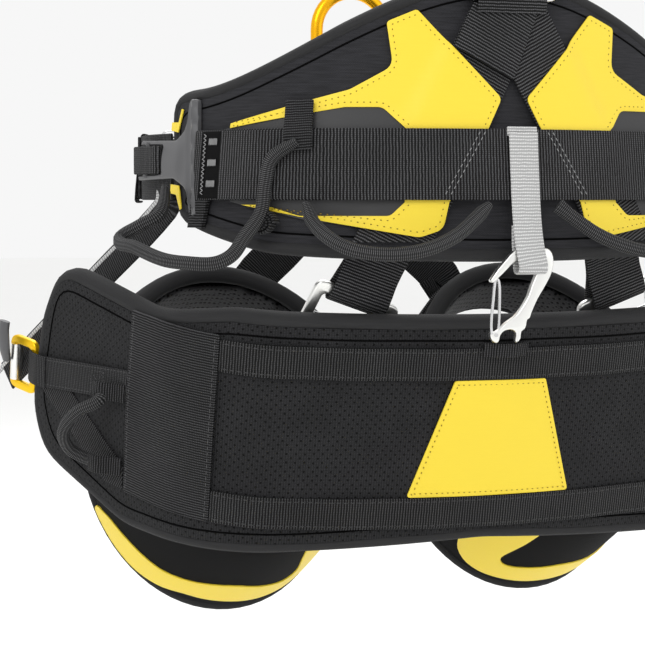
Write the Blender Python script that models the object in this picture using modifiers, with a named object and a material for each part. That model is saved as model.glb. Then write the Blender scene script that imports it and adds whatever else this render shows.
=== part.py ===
"""Tree climbing saddle: padded waist belt, leg loops and a clipped-on suspension seat.

Metres, +Z up. The wearer faces +Y, so the back of the belt faces -Y and the wearer's left is -X.
The origin is the middle of the waist, level with the middle of the back webbing.
Every soft layer is drawn flat as an outline, then laid on one of three curved forms:
the waist belt, the seat or a leg loop.
"""
import bpy
import bmesh
from math import cos, pi, radians, sin
from mathutils import Matrix, Vector
from mathutils.geometry import interpolate_bezier

# Webbing and hardware stock
WIDE_WEB = 0.045
NARROW_WEB = 0.025
TETHER_WEB = 0.020
WEB_THICK = 0.0014
CORD_RADIUS = 0.0038
GAP = 0.0006

# Waist belt: arcs of its plan, as (length along the belt, radius), from the back centre forward
BACK_Y = -0.145
WAIST_TRACK = ((0.110, 0.300), (0.120, 0.120), (0.062, None), (0.1835, 0.1034), (0.093, None))
WAIST_LEAN = 0.10
BELT_END = 0.268
BELT_TOP_END = 0.050
BELT_CREST = 0.122
BELT_BOTTOM = -0.062
FOAM_THICK = 0.0125
SHELL_THICK = 0.0014
BINDING_RADIUS = 0.0045
BINDING_INSET = 0.0115

# Seat: plan arcs, tilt and the place of its middle
SEAT_TRACK = ((0.140, 0.700), (0.090, 0.098), (0.140, None))
SEAT_TILT = radians(13)
SEAT_CENTRE = Vector((0, -0.117, -0.173))
SEAT_HALF = 0.364
SEAT_TOP = 0.077
SEAT_BOARD_HALF = 0.235

# Leg loops: an oval ring of padding for each thigh
LEG_CENTRE = Vector((0.121, 0.100, -0.192))
LEG_ACROSS = 0.098
LEG_ALONG = 0.120
LEG_UP = Vector((0, 0.5, 0.866)).normalized()
LEG_AXIS = Vector((0, 0.866, -0.5)).normalized()
LEG_FOAM = 0.012

# Layer heights over the belt's outer face, and over the seat board's outer face
CROSS_LOW = 0.0006
CROSS_HIGH = 0.0026
PATCH_BASE = 0.0046
BELT_WEB_BASE = 0.0062
TETHER_BASE = 0.0085
COVER_BASE = 0.0005
TRIM_BASE = 0.0031
SEAT_BAND_END = 0.186

# Metal bars
RING_BAR = 0.0045
RING_HALF_WIDTH = 0.0285
RING_HALF_STRAIGHT = 0.026
GATE_LOW = -0.0168
GATE_HIGH = 0.0193
HOOK_BAR = 0.0030
RISER_FRAME = 0.046

# Webbing that closes the belt in front, and its adjusting buckles
FRONT_STRAP_START = 0.2715
FRONT_STRAP_END = 0.536
FRONT_STRAP_OUT = -0.0055
FRONT_BUCKLE_ALONG = 0.425
FRONT_BUCKLE_HALF = 0.018
SEAT_BUCKLE_ALONG = 0.385
SEAT_BUCKLE_UP = -0.008
SEAT_BUCKLE_HALF = 0.017
LEG_BUCKLE_ANGLE = radians(45)
LEG_BUCKLE_OUT = 0.0062

# Grid that every layer on a form is cut to, so that the layers stay parallel
GRID_ALONG = 0.02
GRID_UP = 0.03

# Joint axes
TETHER_PIVOT = Vector((0.003, -0.1555, 0.020))
HOOK_PIVOT = Vector((0.005, -0.1600, -0.056))
HANGER_PIVOT = Vector((0, 0.012, -0.027))
LEG_PIVOT = Vector((0, 0.145, -0.045))
RING_PIVOT = Vector((0, 0.1515, 0.0280))
LINK_PIVOT = Vector((0, -0.1385, 0.1065))

# Gear loops: places along the belt, height and distance out, from the front end to the rear
GEAR_FRONT = ((0.2435, -0.016, 0.0110), (0.231, -0.032, 0.021), (0.236, -0.039, 0.031),
              (0.247, -0.048, 0.040), (0.218, -0.053, 0.045), (0.197, -0.060, 0.045),
              (0.183, -0.062, 0.042), (0.173, -0.062, 0.035), (0.167, -0.057, 0.028),
              (0.164, -0.046, 0.020), (0.158, -0.031, 0.0125), (0.156, -0.012, 0.0125),
              (0.152, 0.004, 0.0125), (0.137, 0.014, 0.0125))
GEAR_REAR = ((0.131, -0.026, 0.0120), (0.126, -0.037, 0.018), (0.115, -0.048, 0.026),
             (0.102, -0.054, 0.030), (0.083, -0.056, 0.030), (0.064, -0.053, 0.028),
             (0.046, -0.045, 0.022), (0.032, -0.034, 0.016), (0.023, -0.026, 0.0130))

SIDES = {-1: "left", 1: "right"}
BLACK = (0.012, 0.012, 0.013)
MATERIALS = {
    "black_foam_fabric": (BLACK, 0.85, 0.0),
    "black_webbing": ((0.018, 0.018, 0.019), 0.75, 0.0),
    "yellow_fabric": ((0.85, 0.72, 0.05), 0.60, 0.0),
    "grey_webbing": ((0.36, 0.36, 0.37), 0.70, 0.0),
    "dark_moulding": ((0.04, 0.04, 0.042), 0.45, 0.0),
    "stiff_board": ((0.03, 0.03, 0.03), 0.60, 0.0),
    "steel": ((0.55, 0.55, 0.56), 0.30, 1.0),
    "aluminium": ((0.66, 0.66, 0.67), 0.38, 1.0),
    "yellow_anodised": ((0.90, 0.52, 0.03), 0.30, 1.0),
    "orange_anodised": ((0.80, 0.20, 0.02), 0.30, 1.0),
    "black_cord": ((0.020, 0.020, 0.021), 0.80, 0.0),
}


def clear_scene():
    for leftover in list(bpy.data.objects):
        bpy.data.objects.remove(leftover)


def new_collection(name):
    group = bpy.data.collections.new(name)
    bpy.context.scene.collection.children.link(group)
    return group


def new_material(name, colour, roughness, metallic):
    made = bpy.data.materials.new(name)
    made.use_nodes = True
    shader = made.node_tree.nodes["Principled BSDF"]
    shader.inputs["Base Color"].default_value = (*colour, 1)
    shader.inputs["Roughness"].default_value = roughness
    shader.inputs["Metallic"].default_value = metallic
    return made


def track_point(track, distance):
    """Place and heading at a distance along arcs that start at (0, 0), heading +X."""
    x = y = heading = 0.0
    left = abs(distance)
    for index, (length, radius) in enumerate(track):
        step = min(left, length) if index < len(track) - 1 else left
        if radius is None:
            x += step * cos(heading)
            y += step * sin(heading)
        else:
            turned = heading + step / radius
            x += radius * (sin(turned) - sin(heading))
            y += radius * (cos(heading) - cos(turned))
            heading = turned
        left -= step
        if left <= 0:
            break
    return x, y, heading


def on_waist(along, up, out=0.0):
    """A point on the belt: distance from the back centre (+X side positive), height, outward."""
    x, y, heading = track_point(WAIST_TRACK, along)
    side = 1 if along >= 0 else -1
    reach = out - WAIST_LEAN * up
    return Vector((side * (x + reach * sin(heading)), BACK_Y + y - reach * cos(heading), up))


def on_seat(along, up, out=0.0):
    """A point on the seat: distance from its middle, height in its own plane, outward."""
    x, forward, heading = track_point(SEAT_TRACK, along)
    side = 1 if along >= 0 else -1
    x += out * sin(heading)
    forward -= out * cos(heading)
    tilted = Vector((side * x, forward * cos(SEAT_TILT) - up * sin(SEAT_TILT), 0))
    tilted.z = forward * sin(SEAT_TILT) + up * cos(SEAT_TILT)
    return SEAT_CENTRE + tilted


def on_leg(side, angle, across, out=0.0):
    """A point on a leg loop: angle from its front top towards the outside, place across it."""
    centre = Vector((side * LEG_CENTRE.x, LEG_CENTRE.y, LEG_CENTRE.z))
    sideways = Vector((side * (LEG_ACROSS + out) * sin(angle), 0, 0))
    return centre + sideways + LEG_UP * (LEG_ALONG + out) * cos(angle) + LEG_AXIS * across


def rounded(corners, steps=4):
    """An outline of (x, y, radius) corners, with each corner turned into an arc."""
    points = []
    for index, (x, y, radius) in enumerate(corners):
        here = Vector((x, y))
        before = Vector(corners[index - 1][:2]) - here
        after = Vector(corners[(index + 1) % len(corners)][:2]) - here
        if radius <= 0:
            points.append(here)
            continue
        half = before.angle(after) / 2
        cut = min(radius * cos(half) / sin(half), before.length * 0.48, after.length * 0.48)
        start = here + before.normalized() * cut
        end = here + after.normalized() * cut
        for step in range(steps + 1):
            t = step / steps
            points.append(start * (1 - t) ** 2 + here * 2 * t * (1 - t) + end * t ** 2)
    return points


def rectangle(left, right, low, high, radius=0.0):
    corners = ((left, low, radius), (right, low, radius), (right, high, radius), (left, high, radius))
    return rounded(corners)


def evened(outline, spacing=0.018):
    """The same closed outline, with points added along its long stretches."""
    points = []
    for index, start in enumerate(outline):
        end = outline[(index + 1) % len(outline)]
        if points and (start - points[-1]).length < spacing / 4:
            continue
        pieces = max(1, round((end - start).length / spacing))
        points += [start.lerp(end, step / pieces) for step in range(pieces)]
    return points


def mirrored(points, side):
    return [Vector((side * point.x, point.y)) for point in points]


def belt_top(along):
    """Height of the belt's top edge: a raised back that falls to low sides."""
    swell = 0.0355 * (1 + cos(pi * min(abs(along) / 0.235, 1)))
    return BELT_CREST - 0.071 + swell


def belt_bottom(along):
    """Height of the belt's bottom edge, which climbs towards the two ends."""
    distance = abs(along)
    if distance < 0.160:
        return BELT_BOTTOM + 0.005 * (distance / 0.160) ** 2
    return BELT_BOTTOM + 0.005 + 0.235 * (distance - 0.160)


def belt_outline(inset):
    """The belt laid flat, drawn a fixed distance inside its outer edge."""
    steps = 13
    reach = [(index / steps) * 0.25 for index in range(-steps, steps + 1)]
    bottom = [Vector((along, belt_bottom(along) + inset)) for along in reach[1:-1]]
    top = [Vector((along, belt_top(along) - inset)) for along in reversed(reach[1:-1])]
    right = ((0.2455 - inset, belt_bottom(0.245) + inset), (0.2520 - inset * 0.8, -0.026 + inset),
             (BELT_END - inset, BELT_TOP_END - 0.006 - inset),
             (BELT_END - 0.006 - inset, BELT_TOP_END - inset))
    right = [Vector(point) for point in right]
    left = [Vector((-point.x, point.y)) for point in reversed(right)]
    return bottom + right + top + left


def seat_outline(inset):
    """The seat laid flat: a long strip whose ends have one tight and one loose corner."""
    end = SEAT_HALF - inset
    top = SEAT_TOP - inset
    low = -SEAT_TOP + inset
    half = ((0, low, 0), (0.255, low - 0.012, 0.05), (end - 0.020, low + 0.018, 0.030),
            (end, low + 0.060, 0.030), (end - 0.006, top - 0.010, 0.030), (0.330, top + 0.004, 0.020),
            (0.245, top - 0.010, 0.040), (0.180, top, 0.040), (0, top, 0))
    right = rounded(half, 2)
    return right + [Vector((-point.x, point.y)) for point in reversed(right[1:-1])]


def flat_face(outline):
    """A flat face cut along the shared grid, ready to be laid on a form."""
    work = bmesh.new()
    work.faces.new([work.verts.new((point.x, point.y, 0)) for point in outline])
    lows = [min(point[axis] for point in outline) for axis in (0, 1)]
    highs = [max(point[axis] for point in outline) for axis in (0, 1)]
    for axis, spacing in ((0, GRID_ALONG), (1, GRID_UP)):
        normal = Vector((1, 0, 0)) if axis == 0 else Vector((0, 1, 0))
        for index in range(int(lows[axis] / spacing) - 1, int(highs[axis] / spacing) + 2):
            everything = work.verts[:] + work.edges[:] + work.faces[:]
            bmesh.ops.bisect_plane(work, geom=everything, dist=0.0004, plane_co=normal * index * spacing,
                                   plane_no=normal)
    bmesh.ops.triangulate(work, faces=work.faces[:])
    return work


def add_mesh(name, work, material, thickness):
    """Turn a surface into an object that Solidify thickens on its front side."""
    bmesh.ops.remove_doubles(work, verts=work.verts[:], dist=0.00005)
    mesh = bpy.data.meshes.new(name)
    work.to_mesh(mesh)
    work.free()
    made = bpy.data.objects.new(name, mesh)
    parts.objects.link(made)
    mesh.materials.append(materials[material])
    if thickness:
        solid = made.modifiers.new("thickness", "SOLIDIFY")
        solid.thickness = thickness
        solid.offset = 1
        solid.use_even_offset = True
    return made


def layer(name, outline, place, base, thickness, material):
    """A sewn layer: an outline laid on a form at a height, with a thickness outward."""
    work = flat_face(outline)
    for vert in work.verts:
        vert.co = place(vert.co.x, vert.co.y, base)
    bmesh.ops.recalc_face_normals(work, faces=work.faces[:])
    first = max(work.faces, key=lambda face: face.calc_area())
    middle = first.calc_center_median()
    inside = Vector((0, 0.02, middle.z))
    if first.normal.dot(middle - inside) < 0:
        bmesh.ops.reverse_faces(work, faces=work.faces[:])
    return add_mesh(name, work, material, thickness)


def strap(name, points, across, width, material, thickness=WEB_THICK):
    """A flat strap that follows points, with its width along one direction."""
    half = Vector(across).normalized() * width / 2
    work = bmesh.new()
    rows = [(work.verts.new(Vector(point) - half), work.verts.new(Vector(point) + half)) for point in points]
    for low, high in zip(rows, rows[1:]):
        work.faces.new((low[0], low[1], high[1], high[0]))
    made = add_mesh(name, work, material, thickness)
    made.modifiers["thickness"].offset = 0
    return made


def smooth_route(points, per_span=2):
    """Points of a smooth curve through the route's own points."""
    route = [Vector(point) for point in points]
    smooth = []
    for index in range(len(route) - 1):
        before = route[max(index - 1, 0)]
        after = route[min(index + 2, len(route) - 1)]
        start = route[index]
        end = route[index + 1]
        reach = (end - start).length / 3
        leave = start + (end - before).normalized() * reach
        arrive = end - (after - start).normalized() * reach
        smooth += interpolate_bezier(start, leave, arrive, end, per_span + 1)[:-1]
    return smooth + [route[-1]]


def tube(name, points, radius, material, closed=False, resolution=2):
    """A round bar or cord along points."""
    curve = bpy.data.curves.new(name, "CURVE")
    curve.dimensions = "3D"
    curve.bevel_depth = radius
    curve.bevel_resolution = resolution
    curve.use_fill_caps = not closed
    line = curve.splines.new("POLY")
    line.points.add(len(points) - 1)
    for slot, point in zip(line.points, points):
        slot.co = (*point, 1)
    line.use_cyclic_u = closed
    made = bpy.data.objects.new(name, curve)
    parts.objects.link(made)
    curve.materials.append(materials[material])
    return made


def plate(name, rings, thickness, turn, material):
    """A flat plate inside one ring, less any further rings, turned into place."""
    curve = bpy.data.curves.new(name, "CURVE")
    curve.dimensions = "2D"
    curve.fill_mode = "BOTH"
    curve.extrude = thickness / 2
    for ring in rings:
        line = curve.splines.new("POLY")
        line.points.add(len(ring) - 1)
        for slot, point in zip(line.points, ring):
            slot.co = (point.x, point.y, 0, 1)
        line.use_cyclic_u = True
    made = bpy.data.objects.new(name, curve)
    parts.objects.link(made)
    curve.materials.append(materials[material])
    made.matrix_world = turn
    return made


def facing(place, right, up):
    """A frame at a place, with local X along right and local Y along up."""
    x_axis = Vector(right).normalized()
    z_axis = x_axis.cross(Vector(up)).normalized()
    y_axis = z_axis.cross(x_axis)
    turn = Matrix((x_axis, y_axis, z_axis)).transposed().to_4x4()
    return Matrix.Translation(place) @ turn


def ring_outline(width, height, radius, steps=4):
    return rounded(((-width / 2, -height / 2, radius), (width / 2, -height / 2, radius),
                    (width / 2, height / 2, radius), (-width / 2, height / 2, radius)), steps)


def hang_on(name, point, members):
    """Parent the pieces that move together to an empty on their joint's axis."""
    axis = bpy.data.objects.new(name, None)
    axis.location = point
    axis.empty_display_size = 0.02
    parts.objects.link(axis)
    shift = Matrix.Translation(-Vector(point))
    for member in members:
        if member.matrix_world == Matrix.Identity(4) and member.location.length == 0:
            member.data.transform(shift)
        else:
            member.location = member.location - Vector(point)
        member.parent = axis
    return axis


def build_waist():
    """The padded belt: foam, stiffener, outer panel and the binding round its edge."""
    inset = belt_outline(BINDING_INSET)
    layer("waist_foam", inset, on_waist, -0.0165, FOAM_THICK, "black_foam_fabric")
    core = rectangle(-0.205, 0.205, -0.034, 0.040)
    layer("waist_stiffener", core, on_waist, -0.0033, 0.0012, "stiff_board")
    layer("waist_shell", inset, on_waist, -SHELL_THICK, SHELL_THICK, "black_foam_fabric")
    edge = [on_waist(point.x, point.y, -0.006) for point in evened(belt_outline(BINDING_RADIUS))]
    tube("waist_binding", edge, BINDING_RADIUS, "black_webbing", closed=True)


def cross_strap(side):
    """Half of the V that runs from the rear link down under the patch on one side."""
    slope = 0.53
    high = 0.0985
    low = -0.049
    half = 0.025
    middle_high = (0.103 - high) * slope
    middle_low = (0.103 - low) * slope
    corners = ((middle_low - half, low), (middle_low + half, low), (middle_high + half, high),
               (middle_high - half, high))
    outline = mirrored([Vector(corner) for corner in corners], side)
    base = CROSS_LOW if side < 0 else CROSS_HIGH
    layer(f"cross_strap_{SIDES[side]}", outline, on_waist, base, WEB_THICK, "black_webbing")


def back_patch(side):
    """The yellow reinforcement: upper wing, lower wing and the waist between them."""
    corners = ((0.063, 0.098, 0.003), (0.083, 0.090, 0.003), (0.079, 0.062, 0.009), (0.107, 0.047, 0.02),
               (0.188, 0.0265, 0), (0.188, 0.0235, 0), (0.110, 0.036, 0.015), (0.086, 0.036, 0.008),
               (0.069, 0.020, 0), (0.073, -0.024, 0), (0.082, -0.0325, 0.006), (0.138, -0.0325, 0.006),
               (0.160, -0.0255, 0), (0.176, -0.0255, 0), (0.119, -0.0365, 0.010), (0.064, -0.046, 0.010),
               (0.049, -0.041, 0.009), (0.045, -0.024, 0), (0.019, 0.021, 0), (0.0085, 0.042, 0.005))
    outline = mirrored(rounded(corners, 3), side)
    layer(f"back_patch_{SIDES[side]}", outline, on_waist, PATCH_BASE, 0.0009, "yellow_fabric")


def side_bracket(side):
    """Moulded T bracket at the belt's end, and the webbing loop that folds on its front bar."""
    corners = ((0.222, -0.042, 0.004), (0.244, -0.042, 0.006), (0.247, -0.012, 0.010), (0.284, -0.008, 0.003),
               (0.284, 0.017, 0.003), (0.247, 0.022, 0.010), (0.244, 0.044, 0.006), (0.222, 0.044, 0.004))
    outline = mirrored(rounded(corners, 3), side)
    layer(f"side_bracket_{SIDES[side]}", outline, on_waist, 0.0005, 0.0050, "dark_moulding")
    tab = mirrored(rectangle(0.2855, 0.308, -0.0055, 0.0145, 0.003), side)
    loop = layer(f"side_loop_{SIDES[side]}", tab, on_waist, 0.0005, 0.0045, "black_webbing")
    hang_on(f"side_loop_axis_{SIDES[side]}", side_loop_pivot(side), [loop])


def side_loop_pivot(side):
    return on_waist(side * 0.2848, 0.0045, 0.003)


def gear_loop(side, name, route):
    """A stiff ribbed tube that hangs from the belt, turning about the line between its ends."""
    points = [on_waist(side * along, up, out) for along, up, out in route]
    cord = tube(f"{name}_{SIDES[side]}", smooth_route(points), CORD_RADIUS, "black_cord")
    hang_on(f"{name}_axis_{SIDES[side]}", (points[0] + points[-1]) / 2, [cord])


def front_closure(side):
    """Webbing from the belt's end round to the front, with its adjusting buckle."""
    steps = 14
    step = (FRONT_STRAP_END - FRONT_STRAP_START) / steps
    places = [FRONT_STRAP_START + index * step for index in range(steps + 1)]
    points = [on_waist(side * along, 0, FRONT_STRAP_OUT) for along in places]
    strap(f"front_strap_{SIDES[side]}", points, (0, 0, 1), WIDE_WEB, "black_webbing")
    along = FRONT_BUCKLE_ALONG
    place = on_waist(side * along, 0, 0.001)
    heading = on_waist(side * (along + 0.01), 0, 0.001) - on_waist(side * (along - 0.01), 0, 0.001)
    turn = facing(place, heading, (0, 0, 1))
    rings = [ring_outline(0.036, 0.058, 0.006), ring_outline(0.018, 0.046, 0.002)]
    frame = plate(f"front_buckle_{SIDES[side]}", rings, 0.0035, turn, "steel")
    hang_on(f"front_buckle_axis_{SIDES[side]}", front_buckle_pivot(side), [frame])


def front_buckle_pivot(side):
    return on_waist(side * (FRONT_BUCKLE_ALONG - FRONT_BUCKLE_HALF), 0, 0.001)


def build_front():
    """The webbing block at the front centre, and the tall gated ring that stands on it."""
    block = rectangle(-0.0305, 0.0305, -0.0225, 0.0225, 0.004)
    turn = facing((0, RING_PIVOT.y, 0), (1, 0, 0), (0, 0, 1))
    plate("front_block", [block], 0.006, turn, "black_webbing")
    half_width = RING_HALF_WIDTH
    half_straight = RING_HALF_STRAIGHT
    centre = RING_PIVOT + Vector((0, 0, half_width + half_straight))
    arc = [pi * step / 10 for step in range(11)]
    route = [Vector((half_width, 0, -half_straight + 0.006))]
    route += [Vector((half_width * cos(turn), 0, -half_straight - half_width * sin(turn))) for turn in arc]
    route += [Vector((-half_width * cos(turn), 0, half_straight + half_width * sin(turn))) for turn in arc]
    route += [Vector((half_width, 0, half_straight - 0.006))]
    ring = tube("ventral_ring", [centre + point for point in route], RING_BAR, "yellow_anodised")
    gate_ends = [centre + Vector((half_width, 0, up)) for up in (GATE_LOW, GATE_HIGH)]
    gate = tube("ring_gate", gate_ends, RING_BAR * 0.9, "orange_anodised")
    hang_on("ventral_ring_axis", RING_PIVOT, [ring])
    hang_on("ring_gate_axis", gate_ends[0], [gate])


def build_tether():
    """Grey strap over the back webbing, its flat hook and the hook's sprung wire gate."""
    low = -0.050
    places = (0.0203, 0.010, -0.010, -0.030, low)
    points = [on_waist(TETHER_PIVOT.x, up, TETHER_BASE + WEB_THICK / 2) for up in places]
    web = strap("tether_strap", points, (1, 0, 0), TETHER_WEB, "grey_webbing")
    hang_on("tether_axis", TETHER_PIVOT, [web])
    route = ((-0.022, 0, -0.019), (-0.012, 0, -0.008), (0.002, 0, -0.0015), (0.013, 0, -0.003),
             (0.0155, 0, -0.013), (0.011, 0, -0.024), (0.004, 0, -0.036), (-0.004, 0, -0.046),
             (-0.012, 0, -0.051), (-0.019, 0, -0.049))
    body = tube("hook_body", smooth_route([HOOK_PIVOT + Vector(point) for point in route]), HOOK_BAR,
                "aluminium")
    hang_on("hook_axis", HOOK_PIVOT, [body])
    gate_low = HOOK_PIVOT + Vector((-0.0225, 0, -0.0455))
    gate_high = HOOK_PIVOT + Vector((-0.0228, 0, -0.0225))
    gate = tube("hook_gate", [gate_low, gate_high], 0.0014, "steel")
    hang_on("hook_gate_axis", gate_low, [gate])


def build_link():
    """Metal link at the top of the back, for a chest harness."""
    half_width = 0.033
    half_height = 0.012
    centre = LINK_PIVOT + Vector((0, 0, half_height))
    outline = ring_outline(2 * half_width, 2 * half_height, 0.008, 3)
    route = [centre + Vector((point.x, 0, point.y)) for point in outline]
    link = tube("rear_link", route, 0.0026, "steel", closed=True)
    hang_on("rear_link_axis", LINK_PIVOT, [link])


def build_riser(side):
    """Rear riser of a leg loop: webbing, its metal adjuster, and webbing down to the padding."""
    start = Vector((side * 0.087, -0.116, -0.0695))
    end = Vector((side * 0.150, -0.034, -0.245))
    run = (end - start).normalized()
    across = Vector((0, 1, 0)).cross(run).normalized()
    strap(f"riser_strap_{SIDES[side]}", [start, start + run * 0.013], across, 0.040, "black_webbing")
    centre = start + run * (0.0145 + RISER_FRAME / 2)
    rings = [ring_outline(0.058, RISER_FRAME, 0.006), ring_outline(0.046, RISER_FRAME - 0.016, 0.003)]
    turn = facing(centre, across, -run)
    frame = plate(f"riser_buckle_{SIDES[side]}", rings, 0.004, turn, "steel")
    hang_on(f"riser_buckle_axis_{SIDES[side]}", start + run * 0.0138, [frame])
    lower = start + run * (0.0160 + RISER_FRAME)
    return strap(f"riser_lower_{SIDES[side]}", [lower, end], across, 0.040, "black_webbing")


def leg_edge(angle):
    """The two edges of a leg loop's padding: narrow in front, wide behind the thigh."""
    behind = (1 - cos(angle)) / 2
    return -0.025 - 0.055 * behind, 0.025 + 0.030 * behind


def leg_band(side, name, angles, edges, base, thickness, material, closed):
    """A band round a leg loop, between two edges that may change with the angle."""
    work = bmesh.new()
    rows = []
    for angle in angles:
        low, high = edges(angle)
        places = (low, (low + high) / 2, high)
        rows.append([work.verts.new(on_leg(side, angle, across, base)) for across in places])
    pairs = list(zip(rows, rows[1:]))
    if closed:
        pairs.append((rows[-1], rows[0]))
    for first, second in pairs:
        for column in (0, 1):
            corners = (first[column], first[column + 1], second[column + 1], second[column])
            work.faces.new(corners if side > 0 else corners[::-1])
    return add_mesh(name, work, material, thickness)


def build_leg(side):
    """A padded leg loop with its webbing, buckle, front bridge and rear riser."""
    lower = build_riser(side)
    steps = 24
    around = [2 * pi * index / steps for index in range(steps)]
    pad = leg_band(side, f"leg_pad_{SIDES[side]}", around, leg_edge, -LEG_FOAM, LEG_FOAM,
                   "black_foam_fabric", True)
    front = [2 * pi * index / steps for index in range(-7, 8)]
    band = leg_band(side, f"leg_strap_{SIDES[side]}", front, lambda angle: (-0.022, 0.022), 0.0008,
                    WEB_THICK, "black_webbing", False)
    angle = LEG_BUCKLE_ANGLE
    place = on_leg(side, angle, 0, LEG_BUCKLE_OUT)
    along = on_leg(side, angle + 0.1, 0, LEG_BUCKLE_OUT) - on_leg(side, angle - 0.1, 0, LEG_BUCKLE_OUT)
    turn = facing(place, along, LEG_AXIS)
    rings = [ring_outline(0.034, 0.056, 0.006), ring_outline(0.018, 0.044, 0.002)]
    buckle = plate(f"leg_buckle_{SIDES[side]}", rings, 0.0035, turn, "steel")
    hang_on(f"leg_buckle_axis_{SIDES[side]}", leg_buckle_pivot(side), [buckle])
    top = Vector((side * 0.019, RING_PIVOT.y, -0.0245))
    bottom = on_leg(side, radians(-22), 0, 0.0100)
    bridge = strap(f"leg_bridge_{SIDES[side]}", [top, (top + bottom) / 2 + Vector((0, 0.003, 0)), bottom],
                   (1, 0, 0), NARROW_WEB, "black_webbing")
    hang_on(f"leg_loop_axis_{SIDES[side]}", LEG_PIVOT, [pad, band, bridge, lower])


def leg_buckle_pivot(side):
    return on_leg(side, LEG_BUCKLE_ANGLE - 0.155, 0, LEG_BUCKLE_OUT)


def build_seat():
    """The suspension seat: board inside, cushion in front, cover and trims behind."""
    inset = seat_outline(BINDING_INSET)
    pieces = [layer("seat_cushion", inset, on_seat, -0.0165, 0.0115, "black_foam_fabric")]
    board = rectangle(-SEAT_BOARD_HALF, SEAT_BOARD_HALF, -0.060, 0.054)
    pieces.append(layer("seat_board", board, on_seat, -0.0043, 0.0040, "stiff_board"))
    pieces.append(layer("seat_cover", inset, on_seat, COVER_BASE, 0.0018, "black_foam_fabric"))
    edge = [on_seat(point.x, point.y, -0.007) for point in evened(seat_outline(BINDING_RADIUS))]
    pieces.append(tube("seat_binding", edge, BINDING_RADIUS, "black_webbing", closed=True))
    inner = SEAT_BAND_END - 0.0006
    for name, low, high in (("seat_band_top", 0.036, 0.057), ("seat_band_bottom", -0.066, -0.045)):
        outline = rectangle(-inner, inner, low, high)
        pieces.append(layer(name, outline, on_seat, TRIM_BASE, WEB_THICK, "black_webbing"))
    patch = [Vector(point) for point in ((-0.058, -0.0444), (0.058, -0.0444), (0.032, 0.0354),
                                         (-0.032, 0.0354))]
    pieces.append(layer("seat_patch", patch, on_seat, TRIM_BASE, 0.0009, "yellow_fabric"))
    tab = rectangle(-0.0095, 0.0095, 0.052, 0.061, 0.002)
    pieces.append(layer("seat_anchor", tab, on_seat, TRIM_BASE + WEB_THICK + GAP, WEB_THICK, "black_webbing"))
    for side in SIDES:
        pieces += seat_wing(side)
    hang_on("seat_axis", SEAT_CENTRE, pieces)


def seat_wing(side):
    """The ribbed band, webbing and yellow buckle at one end of the seat."""
    band = mirrored(rectangle(SEAT_BAND_END, 0.259, -0.066, 0.060), side)
    made = [layer(f"seat_end_band_{SIDES[side]}", band, on_seat, TRIM_BASE, WEB_THICK, "black_webbing")]
    strip = [Vector(point) for point in ((0.260, -0.003), (0.351, -0.018), (0.351, 0.004), (0.260, 0.018))]
    made.append(layer(f"wing_strap_{SIDES[side]}", mirrored(strip, side), on_seat, TRIM_BASE, WEB_THICK,
                      "black_webbing"))
    route = ((0.278, 0.000, 0.0105), (0.275, -0.005, 0.016), (0.284, -0.013, 0.025), (0.295, -0.029, 0.028),
             (0.297, -0.044, 0.021), (0.288, -0.050, 0.013), (0.276, -0.050, 0.0105))
    points = [on_seat(side * along, up, out) for along, up, out in route]
    cord = tube(f"seat_handle_{SIDES[side]}", smooth_route(points), CORD_RADIUS, "black_cord")
    hang_on(f"seat_handle_axis_{SIDES[side]}", (points[0] + points[-1]) / 2, [cord])
    along = SEAT_BUCKLE_ALONG
    place = on_seat(side * along, SEAT_BUCKLE_UP, -0.004)
    ahead = on_seat(side * (along + 0.001), SEAT_BUCKLE_UP, -0.004)
    heading = ahead - on_seat(side * (along - 0.001), SEAT_BUCKLE_UP, -0.004)
    upward = on_seat(0, 1, 0) - on_seat(0, 0, 0)
    turn = facing(place, heading, upward)
    rings = [ring_outline(0.036, 0.044, 0.008), ring_outline(0.020, 0.030, 0.003)]
    buckle = plate(f"seat_buckle_{SIDES[side]}", rings, 0.004, turn, "yellow_anodised")
    hang_on(f"seat_buckle_axis_{SIDES[side]}", seat_buckle_pivot(side), [buckle])
    return made


def seat_buckle_pivot(side):
    return on_seat(side * (SEAT_BUCKLE_ALONG - SEAT_BUCKLE_HALF), SEAT_BUCKLE_UP, -0.004)


def build_hangers():
    """The two straps that carry the seat from the belt's sides."""
    made = []
    for side in SIDES:
        top = Vector((side * 0.186, HANGER_PIVOT.y, HANGER_PIVOT.z))
        bottom = on_seat(side * 0.380, 0.004, -0.016)
        across = on_seat(side * 0.340, 0, 0) - on_seat(side * 0.330, 0, 0)
        made.append(strap(f"hanger_strap_{SIDES[side]}", [top, (top + bottom) / 2, bottom], across,
                          NARROW_WEB, "black_webbing"))
    hang_on("hanger_axis", HANGER_PIVOT, made)


clear_scene()
parts = new_collection("tree_climbing_saddle")
materials = {name: new_material(name, *values) for name, values in MATERIALS.items()}
build_waist()
build_front()
build_tether()
build_link()
build_seat()
build_hangers()
for each_side in SIDES:
    cross_strap(each_side)
    back_patch(each_side)
    side_bracket(each_side)
    front_closure(each_side)
    gear_loop(each_side, "gear_loop_front", GEAR_FRONT)
    gear_loop(each_side, "gear_loop_rear", GEAR_REAR)
    build_leg(each_side)
layer("waist_webbing", rectangle(-0.2205, 0.2205, -0.0225, 0.0225), on_waist, BELT_WEB_BASE, WEB_THICK,
      "black_webbing")
bpy.context.view_layer.update()
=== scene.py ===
from math import atan2, cos, pi, radians, sin, sqrt
import bmesh
import bpy
from mathutils import Matrix, Vector
from mathutils.geometry import interpolate_bezier


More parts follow.
